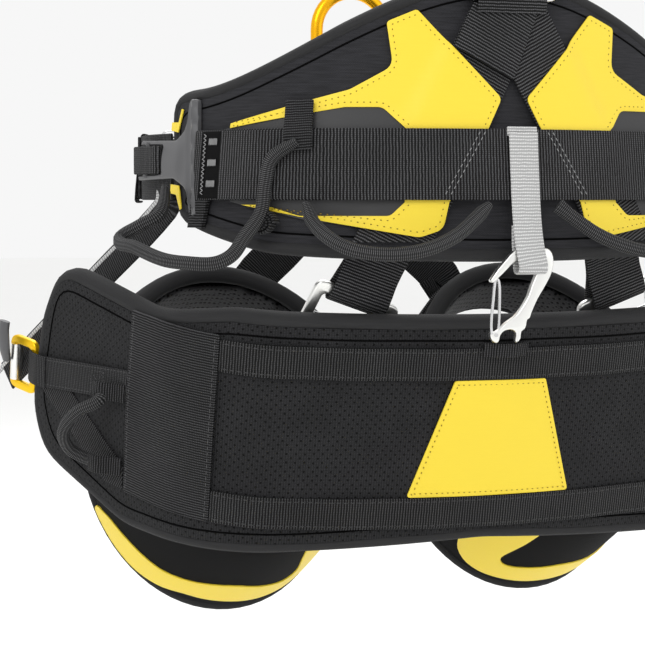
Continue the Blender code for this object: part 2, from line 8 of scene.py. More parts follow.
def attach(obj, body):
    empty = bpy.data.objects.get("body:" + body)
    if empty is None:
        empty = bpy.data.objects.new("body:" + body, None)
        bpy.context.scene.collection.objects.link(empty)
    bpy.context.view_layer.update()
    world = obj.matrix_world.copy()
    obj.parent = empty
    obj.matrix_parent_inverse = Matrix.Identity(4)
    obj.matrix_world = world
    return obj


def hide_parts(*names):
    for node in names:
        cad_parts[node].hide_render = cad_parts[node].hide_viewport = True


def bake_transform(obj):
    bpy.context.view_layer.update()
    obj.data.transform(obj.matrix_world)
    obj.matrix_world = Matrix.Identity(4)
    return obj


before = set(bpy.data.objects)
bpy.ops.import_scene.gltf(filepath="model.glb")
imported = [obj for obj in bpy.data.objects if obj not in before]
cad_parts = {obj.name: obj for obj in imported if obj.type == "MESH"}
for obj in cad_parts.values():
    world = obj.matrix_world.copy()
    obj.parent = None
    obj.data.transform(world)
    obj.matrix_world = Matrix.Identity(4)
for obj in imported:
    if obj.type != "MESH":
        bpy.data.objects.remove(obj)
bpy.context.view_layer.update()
sides = {-1: "left", 1: "right"}

# the camera first: eye level with the belt, behind and to the wearer's left
view = {"place": (-0.5494, -1.3232, -0.0225), "turn": (90 - 3.467, 0, -19.617), "lens": 112.84, "sensor": 36}
eye = bpy.data.objects.new("eye", bpy.data.cameras.new("eye"))
eye.location = view["place"]
eye.rotation_euler = [radians(angle) for angle in view["turn"]]
eye.data.lens = view["lens"]
eye.data.sensor_width = view["sensor"]
bpy.context.scene.collection.objects.link(eye)
bpy.context.scene.camera = eye
print("camera placed")

# the three forms that every sewn layer lies on: belt, seat and thigh
waistForm = {"arcs": ((0.110, 0.300), (0.120, 0.120), (0.062, None), (0.1835, 0.1034), (0.093, None)),
             "back": -0.145, "lean": 0.10}
seatForm = {"arcs": ((0.140, 0.700), (0.090, 0.098), (0.140, None)), "tilt": radians(13),
            "middle": Vector((0, -0.117, -0.173))}
legForm = {"middle": Vector((0.121, 0.100, -0.192)), "across": 0.098, "along": 0.120, "girth": 0.112,
           "up": Vector((0, 0.5, 0.866)).normalized(), "axis": Vector((0, 0.866, -0.5)).normalized()}


def walkArcs(arcs, distance):
    x = y = heading = 0.0
    left = abs(distance)
    for index, (length, radius) in enumerate(arcs):
        step = min(left, length) if index < len(arcs) - 1 else left
        if radius is None:
            x += step * cos(heading)
            y += step * sin(heading)
        else:
            turned = heading + step / radius
            x += radius * (sin(turned) - sin(heading))
            y += radius * (cos(heading) - cos(turned))
            heading = turned
        left -= step
        if left <= 0:
            break
    return x, y, heading


def onWaist(along, up, out=0.0):
    x, y, heading = walkArcs(waistForm["arcs"], along)
    side = 1 if along >= 0 else -1
    reach = out - waistForm["lean"] * up
    return Vector((side * (x + reach * sin(heading)), waistForm["back"] + y - reach * cos(heading), up))


def onSeat(along, up, out=0.0):
    x, ahead, heading = walkArcs(seatForm["arcs"], along)
    side = 1 if along >= 0 else -1
    tilt = seatForm["tilt"]
    x += out * sin(heading)
    ahead -= out * cos(heading)
    return seatForm["middle"] + Vector((side * x, ahead * cos(tilt) - up * sin(tilt),
                                        ahead * sin(tilt) + up * cos(tilt)))


def onLeg(side):
    # along is measured round the loop from the front top, towards the outside of the thigh
    def place(along, across, out=0.0):
        angle = along / legForm["girth"]
        middle = legForm["middle"]
        sideways = Vector((side * (legForm["across"] + out) * sin(angle), 0, 0))
        centre = Vector((side * middle.x, middle.y, middle.z))
        upwards = legForm["up"] * (legForm["along"] + out) * cos(angle)
        return centre + sideways + upwards + legForm["axis"] * across
    return place


def flat(points):
    return [Vector((point[0], point[1])) for point in points]


def rounded(corners, steps=5):
    points = []
    for index, (x, y, radius) in enumerate(corners):
        here = Vector((x, y))
        before = Vector(corners[index - 1][:2]) - here
        after = Vector(corners[(index + 1) % len(corners)][:2]) - here
        if radius <= 0:
            points.append(here)
            continue
        half = before.angle(after) / 2
        cut = min(radius * cos(half) / sin(half), before.length * 0.48, after.length * 0.48)
        start = here + before.normalized() * cut
        end = here + after.normalized() * cut
        for step in range(steps + 1):
            t = step / steps
            points.append(start * (1 - t) ** 2 + here * 2 * t * (1 - t) + end * t ** 2)
    return points


def box(left, right, low, high, radius=0.0015):
    return rounded(((left, low, radius), (right, low, radius), (right, high, radius), (left, high, radius)), 3)


def mirrored(points, side):
    return [Vector((side * point.x, point.y)) for point in points]


def evened(line, spacing, closed=True):
    # points at an even spacing along a line, in two or three dimensions
    ends = list(line) + ([line[0]] if closed else [])
    total = sum((b - a).length for a, b in zip(ends, ends[1:]))
    count = max(2, round(total / spacing))
    gap = total / count
    points = []
    left = 0.0
    for a, b in zip(ends, ends[1:]):
        length = (b - a).length
        while left < length - 1e-9 and len(points) < count:
            points.append(a.lerp(b, left / length))
            left += gap
        left -= length
    return points if closed else points + [ends[-1]]


def softened(line, rounds=2):
    for turn in range(rounds):
        line = [(line[index - 1] + here * 2 + line[(index + 1) % len(line)]) / 4
                for index, here in enumerate(line)]
    return line


def insetOutline(outline, distance):
    # the outline moved inwards by a distance, corner by corner
    area = sum(a.x * b.y - b.x * a.y for a, b in zip(outline, outline[1:] + outline[:1]))
    turn = 1 if area > 0 else -1
    points = []
    for index, here in enumerate(outline):
        before = (here - outline[index - 1]).normalized()
        after = (outline[(index + 1) % len(outline)] - here).normalized()
        inward = Vector((-before.y - after.y, before.x + after.x)) * turn
        if inward.length < 1e-6:
            continue
        inward.normalize()
        lean = max(0.5, inward.dot(Vector((-before.y, before.x)) * turn))
        points.append(here + inward * distance / lean)
    return points


def beltTop(along):
    return 0.051 + 0.0355 * (1 + cos(pi * min(abs(along) / 0.235, 1)))


def beltBottom(along):
    distance = abs(along)
    if distance < 0.160:
        return -0.062 + 0.005 * (distance / 0.160) ** 2
    return -0.057 + 0.235 * (distance - 0.160)


def beltOutline(inset):
    steps = 26
    reach = [(index / steps) * 0.25 for index in range(-steps, steps + 1)]
    bottom = [Vector((along, beltBottom(along) + inset)) for along in reach[1:-1]]
    top = [Vector((along, beltTop(along) - inset)) for along in reversed(reach[1:-1])]
    right = flat(((0.2455 - inset, beltBottom(0.245) + inset), (0.2520 - inset * 0.8, -0.026 + inset),
                  (0.268 - inset, 0.044 - inset), (0.262 - inset, 0.050 - inset)))
    left = [Vector((-point.x, point.y)) for point in reversed(right)]
    return bottom + right + top + left


def seatOutline(inset):
    end = 0.364 - inset
    top = 0.077 - inset
    low = -0.077 + inset
    half = ((0, low, 0), (0.262, low - 0.016, 0.05), (end - 0.010, low + 0.008, 0.026),
            (end + 0.003, low + 0.038, 0.030), (end - 0.004, 0.030, 0.060), (0.338, top - 0.004, 0.020),
            (0.245, top - 0.014, 0.040), (0.180, top, 0.040), (0, top, 0))
    right = rounded(half, 5)
    return right + [Vector((-point.x, point.y)) for point in reversed(right[1:-1])]


def toLinear(code):
    values = [int(code[place:place + 2], 16) / 255 for place in (1, 3, 5)]
    return [v / 12.92 if v <= 0.04045 else ((v + 0.055) / 1.055) ** 2.4 for v in values] + [1]


def addNode(tree, kind, settings=None, links=None):
    node = tree.nodes.new(kind)
    for key, value in (settings or {}).items():
        if isinstance(key, int) or key in node.inputs:
            node.inputs[key].default_value = value
        else:
            setattr(node, key, value)
    for key, source in (links or {}).items():
        tree.links.new(source, node.inputs[key])
    return node


def newFinish(name, shader):
    finish = bpy.data.materials.new(name)
    finish.use_nodes = True
    tree = finish.node_tree
    surface = tree.nodes["Principled BSDF"]
    for key, value in shader.items():
        surface.inputs[key].default_value = value
    return finish, tree, surface


def calc(tree, operation, first, second=0.0, third=None):
    settings = {"operation": operation}
    links = {}
    for place, value in enumerate((first, second) + (() if third is None else (third,))):
        if isinstance(value, (int, float)):
            settings[place] = value
        else:
            links[place] = value
    # the operation is set before the sockets it uses
    return addNode(tree, "ShaderNodeMath", settings, links).outputs[0]


def blendColour(tree, share, low, high):
    node = addNode(tree, "ShaderNodeMix", {"data_type": "RGBA"})
    for place, value in ((0, share), (6, low), (7, high)):
        if hasattr(value, "links"):
            tree.links.new(value, node.inputs[place])
        else:
            node.inputs[place].default_value = value
    return node.outputs[2]


def wave(tree, coordinate, pitch):
    # a smooth ridge, 0 to 1, that repeats at a pitch in metres
    turned = calc(tree, "MULTIPLY", coordinate, 2 * pi / pitch)
    return calc(tree, "MULTIPLY_ADD", calc(tree, "SINE", turned), 0.5, 0.5)


def mottle(tree, size, detail=3):
    where = addNode(tree, "ShaderNodeTexCoord").outputs["Object"]
    return addNode(tree, "ShaderNodeTexNoise", {"Scale": 1 / size, "Detail": detail},
                   {"Vector": where}).outputs[0]


def addBump(tree, surface, height, distance, strength=1.0):
    bump = addNode(tree, "ShaderNodeBump", {"Distance": distance, "Strength": strength}, {"Height": height})
    tree.links.new(bump.outputs[0], surface.inputs["Normal"])


fabricShader = {"Roughness": 0.78, "IOR": 1.5, "Specular IOR Level": 0.18, "Sheen Weight": 0.03,
                "Sheen Roughness": 0.5}


def ribbedWeave(name, weave):
    # a strap's ribs run across it; its colour follows their height, with painted highlight on the rib tops and
    # painted shade in the gaps, and the thread of each rib shows as small bright dots of painted highlight
    finish, tree, surface = newFinish(name, dict(fabricShader, **weave.get("shader", {})))
    uv = addNode(tree, "ShaderNodeUVMap", {"uv_map": "flat"}).outputs[0]
    axes = addNode(tree, "ShaderNodeSeparateXYZ", {}, {0: uv}).outputs
    wander = calc(tree, "MULTIPLY", calc(tree, "SUBTRACT", mottle(tree, 0.004), 0.5), weave["rib"] * 0.5)
    length = calc(tree, "ADD", axes[0], wander)
    rib = wave(tree, length, weave["rib"])
    thread = wave(tree, axes[1], weave["thread"])
    height = calc(tree, "MULTIPLY", rib, calc(tree, "MULTIPLY_ADD", thread, 0.4, 0.6))
    patch = calc(tree, "MULTIPLY_ADD", mottle(tree, 0.03), weave["patchy"], 1 - weave["patchy"] / 2)
    # painted highlight and shade: the rib height, squared and made patchy, blends the gap colour up to the top
    # colour
    share = calc(tree, "MULTIPLY", calc(tree, "POWER", height, 2.0), patch)
    colour = blendColour(tree, share, toLinear(weave["dark"]), toLinear(weave["light"]))
    tree.links.new(colour, surface.inputs["Base Color"])
    addBump(tree, surface, height, weave["raise"])
    return finish


def plainWeave(name, weave):
    # a fine over-and-under weave, with colour that varies from yarn to yarn
    finish, tree, surface = newFinish(name, dict(fabricShader, **weave.get("shader", {})))
    uv = addNode(tree, "ShaderNodeUVMap", {"uv_map": "flat"}).outputs[0]
    axes = addNode(tree, "ShaderNodeSeparateXYZ", {}, {0: uv}).outputs
    over = wave(tree, axes[0], weave["thread"])
    under = wave(tree, axes[1], weave["thread"] * weave.get("ratio", 1))
    height = calc(tree, "ADD", calc(tree, "MULTIPLY", over, under),
                  calc(tree, "MULTIPLY", calc(tree, "SUBTRACT", 1.0, over), calc(tree, "SUBTRACT", 1.0, under)))
    streak = addNode(tree, "ShaderNodeCombineXYZ", {}, {0: calc(tree, "MULTIPLY", axes[0], 60.0),
                                                      1: calc(tree, "MULTIPLY", axes[1], 900.0)}).outputs[0]
    heather = addNode(tree, "ShaderNodeTexNoise", {"Scale": 1.0, "Detail": 2}, {"Vector": streak}).outputs[0]
    share = calc(tree, "MULTIPLY", calc(tree, "MULTIPLY_ADD", height, 0.5, 0.25),
                 calc(tree, "MULTIPLY_ADD", heather, weave["patchy"] * 2, 1 - weave["patchy"]))
    colour = blendColour(tree, share, toLinear(weave["dark"]), toLinear(weave["light"]))
    tree.links.new(colour, surface.inputs["Base Color"])
    addBump(tree, surface, calc(tree, "ADD", height, calc(tree, "MULTIPLY", mottle(tree, 0.012), 1.5)),
            weave["raise"])
    return finish


def dottedMesh(name, mesh):
    # staggered small holes in a knit that has fine upright ribs
    finish, tree, surface = newFinish(name, dict(fabricShader, **mesh.get("shader", {})))
    uv = addNode(tree, "ShaderNodeUVMap", {"uv_map": "flat"}).outputs[0]
    turned = addNode(tree, "ShaderNodeMapping",
                     {"Rotation": (0, 0, radians(45)), "Scale": (1 / mesh["hole"],) * 3},
                     {"Vector": uv}).outputs[0]
    cell = addNode(tree, "ShaderNodeTexVoronoi", {"voronoi_dimensions": "2D", "Scale": 1.0, "Randomness": 0.12},
                   {"Vector": turned}).outputs["Distance"]
    hole = calc(tree, "LESS_THAN", cell, mesh["open"])
    axes = addNode(tree, "ShaderNodeSeparateXYZ", {}, {0: uv}).outputs
    rib = calc(tree, "MULTIPLY", wave(tree, axes[0], mesh["rib"]), wave(tree, axes[1], mesh["rib"] * 0.6))
    share = calc(tree, "MULTIPLY", calc(tree, "MULTIPLY_ADD", rib, 0.7, 0.3),
                 calc(tree, "MULTIPLY_ADD", mottle(tree, 0.02), 0.8, 0.6))
    knit = blendColour(tree, share, toLinear(mesh["dark"]), toLinear(mesh["light"]))
    # painted shade: the holes take the darkest colour, standing in for the shade inside them
    tree.links.new(blendColour(tree, hole, knit, toLinear(mesh["deep"])), surface.inputs["Base Color"])
    height = calc(tree, "SUBTRACT", calc(tree, "MULTIPLY", rib, 0.4), hole)
    addBump(tree, surface, height, mesh["raise"])
    return finish


def padMesh(name, mesh):
    # the same open knit on a stuffed pad, worked out in the pad's own space
    finish, tree, surface = newFinish(name, dict(fabricShader, **mesh.get("shader", {})))
    where = addNode(tree, "ShaderNodeTexCoord").outputs["Object"]
    cell = addNode(tree, "ShaderNodeTexVoronoi", {"Scale": 1 / mesh["hole"], "Randomness": 0.15},
                   {"Vector": where}).outputs["Distance"]
    hole = addNode(tree, "ShaderNodeMapRange", {1: mesh["open"] - 0.08, 2: mesh["open"] + 0.08},
                   {0: cell}).outputs[0]
    knit = blendColour(tree, mottle(tree, 0.0012), toLinear(mesh["dark"]), toLinear(mesh["light"]))
    # painted shade: the holes take the darkest colour, standing in for the shade inside them
    tree.links.new(blendColour(tree, hole, toLinear(mesh["deep"]), knit), surface.inputs["Base Color"])
    addBump(tree, surface, hole, mesh["raise"])
    return finish


def grained(name, shader, colour, grain):
    # a skin with a fine random grain, and colour that drifts a little
    finish, tree, surface = newFinish(name, shader)
    drift = mottle(tree, grain.get("drift", 0.03), 2)
    tone = blendColour(tree, drift, toLinear(colour[0]), toLinear(colour[1]))
    tree.links.new(tone, surface.inputs["Base Color"])
    fine = mottle(tree, grain["size"], grain.get("detail", 3))
    rough = calc(tree, "MULTIPLY_ADD", fine, grain.get("rough", 0.12),
                 shader["Roughness"] - grain.get("rough", 0.12) / 2)
    tree.links.new(rough, surface.inputs["Roughness"])
    addBump(tree, surface, fine, grain["raise"])
    return finish


# polyester webbing, woven: ribs with painted highlight along their tops and painted shade between them
# the real ribs are about 1.4 mm apart; they are drawn at 2.0 mm, so that they still show from this far off
wovenWebbing = ribbedWeave("polyesterWebbingWoven", {
    "rib": 0.0020, "thread": 0.0013, "raise": 0.0010, "patchy": 0.7, "dark": "#060606", "light": "#6a6a6c"})
# the same webbing in its narrow widths: finer ribs, drawn at 1.7 mm for about 1.2 mm
narrowWebbing = ribbedWeave("polyesterWebbingNarrow", {
    "rib": 0.0017, "thread": 0.0012, "raise": 0.0008, "patchy": 0.7, "dark": "#060606", "light": "#565658"})
# smooth polyamide webbing, undyed grey: a clean rib, its tops a silky light colour of painted highlight
greyWebbing = ribbedWeave("polyamideWebbingGrey", {
    "rib": 0.0021, "thread": 0.0012, "raise": 0.0005, "patchy": 0.2, "dark": "#a4a4a4", "light": "#efefee"})
# tubular sleeve, woven over a plastic core: thin ribs round the cord, with painted highlight on the rib tops and on
# the threads between them
sleeveWeave = ribbedWeave("polyesterSleeveWoven", {
    "rib": 0.0012, "thread": 0.0024, "raise": 0.0004, "patchy": 0.5, "dark": "#0d0d0e", "light": "#6a6a6b"})
# polyamide cloth, woven and laminated to foam: dark, dry and a little heathered
panelCloth = plainWeave("polyamideClothLaminated", {
    "thread": 0.0011, "raise": 0.00016, "patchy": 0.8, "dark": "#0a0a0b", "light": "#3a3a3e"})
# knitted binding tape, folded over the edge: soft, with next to no pattern
bindingTape = plainWeave("polyesterTapeKnitted", {
    "thread": 0.0007, "raise": 0.00010, "patchy": 0.4, "dark": "#171718", "light": "#3a3a3b"})
# polyurethane-coated cloth, smooth: the panels between the yellow arms, nearly plain
coatedCloth = plainWeave("polyurethaneClothCoated", {
    "thread": 0.0008, "raise": 0.00004, "patchy": 0.15, "dark": "#262627", "light": "#3a3a3b",
    "shader": {"Roughness": 0.5, "Specular IOR Level": 0.4, "Sheen Weight": 0.0}})
# heavy polyamide cloth, woven tight and dyed black, then darkened further with painted shade, so the loops read
# as the darkest cloth
legClothShaded = plainWeave("polyamideClothTightShaded", {
    "thread": 0.0010, "raise": 0.00008, "patchy": 0.5, "dark": "#030303", "light": "#161617",
    "shader": {"Roughness": 0.85, "Specular IOR Level": 0.1, "Sheen Weight": 0.0}})
# coated cloth, calendered, in yellow: an even satin colour with the weave only just there
yellowCloth = plainWeave("polyurethaneClothYellow", {
    "thread": 0.0009, "raise": 0.00005, "patchy": 0.12, "dark": "#e2c31d", "light": "#fbe246",
    "shader": {"Roughness": 0.46, "Specular IOR Level": 0.45, "Sheen Weight": 0.0}})
# polyester webbing of the two long bands: the same weave, drawn tighter, so its ribs are finer, with dimmer painted
# highlight on them
seatWebbing = ribbedWeave("polyesterWebbingSeat", {
    "rib": 0.0018, "thread": 0.0012, "raise": 0.0010, "patchy": 0.8, "dark": "#030303", "light": "#585859"})
# warp-knitted polyester over the seat: fine dots in upright ribs, the dots being holes filled with painted shade
seatMesh = dottedMesh("polyesterMeshKnitted", {
    "hole": 0.0042, "open": 0.18, "rib": 0.0017, "raise": 0.0008, "dark": "#020202", "light": "#333335",
    "deep": "#010101"})
# spacer mesh, knitted: open cells 3.6 mm apart; the holes between the paler yarns are painted dark, as painted shade
spacerMesh = padMesh("polyesterSpacerKnitted", {
    "hole": 0.0036, "open": 0.34, "raise": 0.0008, "dark": "#242425", "light": "#4a4a4c", "deep": "#060606"})
# glass-filled polyamide, moulded: spark texture, satin
mouldedNylon = grained("polyamideMoulded", {"Roughness": 0.38, "IOR": 1.53, "Specular IOR Level": 0.5},
                       ("#454547", "#525254"), {"size": 0.0007, "raise": 0.00005})
# polyethylene sheet, extruded: dull, waxy, almost hidden
boardSheet = grained("polyethyleneSheetExtruded", {"Roughness": 0.6, "IOR": 1.51}, ("#1d1d1e", "#262627"),
                     {"size": 0.0012, "raise": 0.00004})
# aluminium, hot forged and tumbled: pale, with a fine even haze
tumbledAluminium = grained("aluminiumTumbled", {"Roughness": 0.31, "Metallic": 1.0}, ("#eaeae7", "#f6f6f3"),
                           {"size": 0.0010, "raise": 0.00004, "drift": 0.012})
# stainless steel, bent wire and pressed plate, polished: bright with faint draw marks
polishedSteel = grained("steelPolished", {"Roughness": 0.20, "Metallic": 1.0}, ("#c9c9cb", "#e4e4e4"),
                        {"size": 0.0016, "raise": 0.00002, "rough": 0.08})
# aluminium, forged and anodised in yellow: a deep coloured metal
yellowAnodised = grained("aluminiumAnodisedYellow", {"Roughness": 0.27, "Metallic": 0.85},
                         ("#f0a800", "#ffc21c"), {"size": 0.0009, "raise": 0.00002, "rough": 0.08})
# the seat buckles are anodised a clear lemon yellow
lemonAnodised = grained("aluminiumAnodisedLemon", {"Roughness": 0.34, "Metallic": 0.7}, ("#f2bd00", "#ffd51e"),
                        {"size": 0.0009, "raise": 0.00002, "rough": 0.08})
# the ring's gate is the same metal, anodised orange
orangeAnodised = grained("aluminiumAnodisedOrange", {"Roughness": 0.3, "Metallic": 0.85},
                         ("#e07a00", "#f08c10"), {"size": 0.0009, "raise": 0.00002, "rough": 0.08})
# welt cord, dyed black, and kept darker than the cloth beside it as painted shade along the seam
seamShadeCord = grained("polyesterCordSeamShade", {"Roughness": 0.9, "IOR": 1.5, "Specular IOR Level": 0.05},
                   ("#030303", "#070707"), {"size": 0.0006, "raise": 0.00003})
# soft grey thread for the long rows on the seat, half lost in the webbing
dullThread = grained("polyesterThreadDull", {"Roughness": 0.8, "IOR": 1.5}, ("#3c3c3d", "#505051"),
                     {"size": 0.0005, "raise": 0.00005})
# bonded polyester thread, twisted: dark on the straps, grey at the bar tacks
darkThread = grained("polyesterThreadDark", {"Roughness": 0.6, "IOR": 1.5, "Sheen Weight": 0.2},
                     ("#1b1b1c", "#303031"), {"size": 0.0005, "raise": 0.00005})
greyThread = grained("polyesterThreadGrey", {"Roughness": 0.6, "IOR": 1.5, "Sheen Weight": 0.2},
                     ("#747475", "#979797"), {"size": 0.0005, "raise": 0.00005})
# the same thread dyed ochre, sunk into the yellow cloth and darkened with painted shade: it reads as a row of small
# dark dots
ochreThreadShaded = grained("polyesterThreadOchreShaded", {"Roughness": 0.8, "IOR": 1.5}, ("#7a6410", "#94791a"),
                      {"size": 0.0005, "raise": 0.00003})
print("materials made")


def settle(piece, body, slotName, *nodes):
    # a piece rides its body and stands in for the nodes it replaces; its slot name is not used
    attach(piece, body)
    if nodes:
        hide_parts(*nodes)
    return piece


def toPiece(name, work, finish, crease=40):
    mesh = bpy.data.meshes.new(name)
    work.to_mesh(mesh)
    work.free()
    mesh.materials.append(finish)
    mesh.shade_smooth()
    mesh.set_sharp_from_angle(angle=radians(crease))
    piece = bpy.data.objects.new(name, mesh)
    bpy.context.scene.collection.objects.link(piece)
    return piece


def heightOf(value, along, up):
    return value(along, up) if callable(value) else value


def sewnLayer(name, outline, place, base, thickness, finish, grain=0.0, shoulder=None, step=0.009, relief=None,
              lowEdge=0.4):
    # a closed layer whose upper side rounds down to its edge
    # relief adds to its height, and base may follow what lies under it
    shoulder = shoulder or min(thickness, 0.0012)
    work = bmesh.new()
    face = work.faces.new([work.verts.new((point.x, point.y, 0)) for point in outline])
    done = 0.0
    for share in (0.3, 1.0):
        bmesh.ops.inset_region(work, faces=[face], thickness=shoulder * (share - done), use_even_offset=True,
                               use_boundary=True)
        done = share
        for vert in face.verts:
            vert.co.z = share
    for axis in (0, 1):
        normal = Vector((1, 0, 0)) if axis == 0 else Vector((0, 1, 0))
        low = min(point[axis] for point in outline)
        high = max(point[axis] for point in outline)
        for index in range(int(low / step) - 1, int(high / step) + 2):
            everything = work.verts[:] + work.edges[:] + work.faces[:]
            bmesh.ops.bisect_plane(work, geom=everything, dist=0.00005, plane_co=normal * index * step,
                                   plane_no=normal)
    bmesh.ops.remove_doubles(work, verts=work.verts[:], dist=0.00004)
    under = work.verts[:]
    rim = [edge for edge in work.edges if edge.is_boundary]
    copy = bmesh.ops.duplicate(work, geom=work.verts[:] + work.edges[:] + work.faces[:])["vert_map"]
    for edge in rim:
        a, b = edge.verts
        work.faces.new((a, b, copy[b], copy[a]))
    layer = work.loops.layers.uv.new("flat")
    for part in work.faces:
        for loop in part.loops:
            x, y = loop.vert.co.x, loop.vert.co.y
            loop[layer].uv = (x * cos(grain) + y * sin(grain), y * cos(grain) - x * sin(grain))
    for vert in under:
        x, y, share = vert.co
        floorHeight = heightOf(base, x, y)
        crown = sqrt(max(0.0, 1 - (1 - share) ** 2))
        extra = relief(x, y) * crown if relief else 0.0
        copy[vert].co = place(x, y, floorHeight + thickness * (lowEdge + (1 - lowEdge) * crown) + extra)
        vert.co = place(x, y, floorHeight)
    bmesh.ops.recalc_face_normals(work, faces=work.faces[:])
    return toPiece(name, work, finish)


def sweep(name, points, section, finish, across=None, closed=False, crease=50, widthAt=None):
    # section points are (across, outward); across gives the width's direction, once or for each point
    points = [Vector(point) for point in points]
    count = len(points)
    tangents = []
    for index in range(count):
        before = points[index - 1] if index or closed else points[0]
        after = points[(index + 1) % count] if index < count - 1 or closed else points[-1]
        tangents.append((after - before).normalized())
    work = bmesh.new()
    layer = work.loops.layers.uv.new("flat")
    perimeter = [0.0]
    for a, b in zip(section, section[1:] + section[:1]):
        perimeter.append(perimeter[-1] + (Vector(b) - Vector(a)).length)
    rows = []
    guide = None
    for index, (point, tangent) in enumerate(zip(points, tangents)):
        if across is not None:
            guide = Vector(across[index] if isinstance(across, list) else across)
        elif guide is None:
            guide = tangent.orthogonal()
        wide = (guide - tangent * guide.dot(tangent)).normalized()
        guide = wide if across is None else guide
        outward = wide.cross(tangent)
        size = widthAt(index / (count - 1)) if widthAt else (1, 1)
        rows.append([work.verts.new(point + wide * a * size[0] + outward * b * size[1]) for a, b in section])
    pairs = list(zip(range(count - 1), range(1, count))) + ([(count - 1, 0)] if closed else [])
    travelled = 0.0
    edgeCount = len(section)
    for first, second in pairs:
        span = (points[second] - points[first]).length
        for column in range(edgeCount):
            following = (column + 1) % edgeCount
            face = work.faces.new((rows[first][column], rows[first][following], rows[second][following],
                                   rows[second][column]))
            spots = ((travelled, perimeter[column]), (travelled, perimeter[column + 1]),
                     (travelled + span, perimeter[column + 1]), (travelled + span, perimeter[column]))
            for loop, spot in zip(face.loops, spots):
                loop[layer].uv = spot
        travelled += span
    if not closed:
        work.faces.new(rows[0][::-1])
        work.faces.new(rows[-1])
    bmesh.ops.recalc_face_normals(work, faces=work.faces[:])
    return toPiece(name, work, finish, crease)


def strapSection(width, thick=0.0016):
    half = width / 2
    edge = thick * 0.45
    low = thick / 2
    return [(-half, 0), (-half + edge * 0.4, -low * 0.75), (-half + edge * 1.4, -low), (0, -low * 1.05),
            (half - edge * 1.4, -low), (half - edge * 0.4, -low * 0.75), (half, 0),
            (half - edge * 0.4, low * 0.75),
            (half - edge * 1.4, low), (0, low * 1.05), (-half + edge * 1.4, low),
            (-half + edge * 0.4, low * 0.75)]


def roundSection(radius, count=14, second=None):
    second = second or radius
    return [(radius * cos(2 * pi * step / count), second * sin(2 * pi * step / count)) for step in range(count)]


def ribbedSection(radius, ribs=9, depth=0.06):
    count = ribs * 4
    return [(radius * (1 - depth * (1 - cos(2 * pi * step * ribs / count)) / 2) * cos(2 * pi * step / count),
             radius * (1 - depth * (1 - cos(2 * pi * step * ribs / count)) / 2) * sin(2 * pi * step / count))
            for step in range(count)]


def smoothRoute(points, perSpan=5):
    route = [Vector(point) for point in points]
    smooth = []
    for index in range(len(route) - 1):
        before = route[max(index - 1, 0)]
        after = route[min(index + 2, len(route) - 1)]
        start = route[index]
        end = route[index + 1]
        reach = (end - start).length / 3
        leave = start + (end - before).normalized() * reach
        arrive = end - (after - start).normalized() * reach
        smooth += interpolate_bezier(start, leave, arrive, end, perSpan + 1)[:-1]
    return smooth + [route[-1]]


def plate(name, rings, thickness, turn, finish, bevel=0.0008):
    # a flat plate with rounded edges inside one ring, less any further rings
    curve = bpy.data.curves.new(name, "CURVE")
    curve.dimensions = "2D"
    curve.fill_mode = "BOTH"
    curve.extrude = thickness / 2 - bevel
    curve.bevel_depth = bevel
    curve.bevel_resolution = 2
    curve.offset = -bevel
    for ring in rings:
        line = curve.splines.new("POLY")
        line.points.add(len(ring) - 1)
        for slot, point in zip(line.points, ring):
            slot.co = (point.x, point.y, 0, 1)
        line.use_cyclic_u = True
    drawn = bpy.data.objects.new(name, curve)
    bpy.context.scene.collection.objects.link(drawn)
    bpy.context.view_layer.update()
    mesh = bpy.data.meshes.new_from_object(drawn.evaluated_get(bpy.context.evaluated_depsgraph_get()))
    bpy.data.objects.remove(drawn)
    work = bmesh.new()
    work.from_mesh(mesh)
    bmesh.ops.remove_doubles(work, verts=work.verts[:], dist=0.00002)
    work.transform(turn)
    bmesh.ops.recalc_face_normals(work, faces=work.faces[:])
    return toPiece(name, work, finish, 35)


def facing(place, right, up):
    xAxis = Vector(right).normalized()
    zAxis = xAxis.cross(Vector(up)).normalized()
    yAxis = zAxis.cross(xAxis)
    turn = Matrix((xAxis, yAxis, zAxis)).transposed().to_4x4()
    return Matrix.Translation(place) @ turn


def frameRing(width, height, radius):
    return rounded(((-width / 2, -height / 2, radius), (width / 2, -height / 2, radius),
                    (width / 2, height / 2, radius), (-width / 2, height / 2, radius)), 8)


def buckleFrame(name, plan, turn, finish):
    # a frame round one window, its edges rolled
    outer = frameRing(*plan["frame"], plan["corner"])
    window = frameRing(*plan["window"], plan["windowCorner"])
    return plate(name, [outer, window], plan["thick"], turn, finish, plan["edge"])


def crossBar(name, plan, turn, finish):
    # the bar that crosses a buckle's window, at a distance from its middle
    ends = [turn @ Vector((plan["barAt"], up, 0.0)) for up in (-plan["barHalf"], 0.0, plan["barHalf"])]
    return sweep(name, ends, roundSection(*plan["bar"]), finish)


def seam(place, line, out, stitch=0.0026, gap=0.0014, closed=True):
    # the two ends of each stitch along a flat line on a form
    spots = evened(line, (stitch + gap) / 2, closed)
    if len(spots) % 2:
        spots = spots[:-1]
    pairs = []
    for a, b in zip(spots[::2], spots[1::2]):
        middle = a.lerp(b, 0.5)
        half = (b - a).normalized() * stitch / 2
        first, last = middle - half, middle + half
        pairs.append((place(first.x, first.y, heightOf(out, first.x, first.y)),
                      place(last.x, last.y, heightOf(out, last.x, last.y))))
    return pairs


def barTack(place, centre, width, height, out, turn=0.0, count=7):
    pairs = []
    for index in range(count):
        shift = (index / (count - 1) - 0.5) * width
        ends = []
        for end in (-height / 2, height / 2):
            x = centre[0] + shift * cos(turn) - end * sin(turn)
            y = centre[1] + shift * sin(turn) + end * cos(turn)
            ends.append(place(x, y, out))
        pairs.append(tuple(ends))
    return pairs


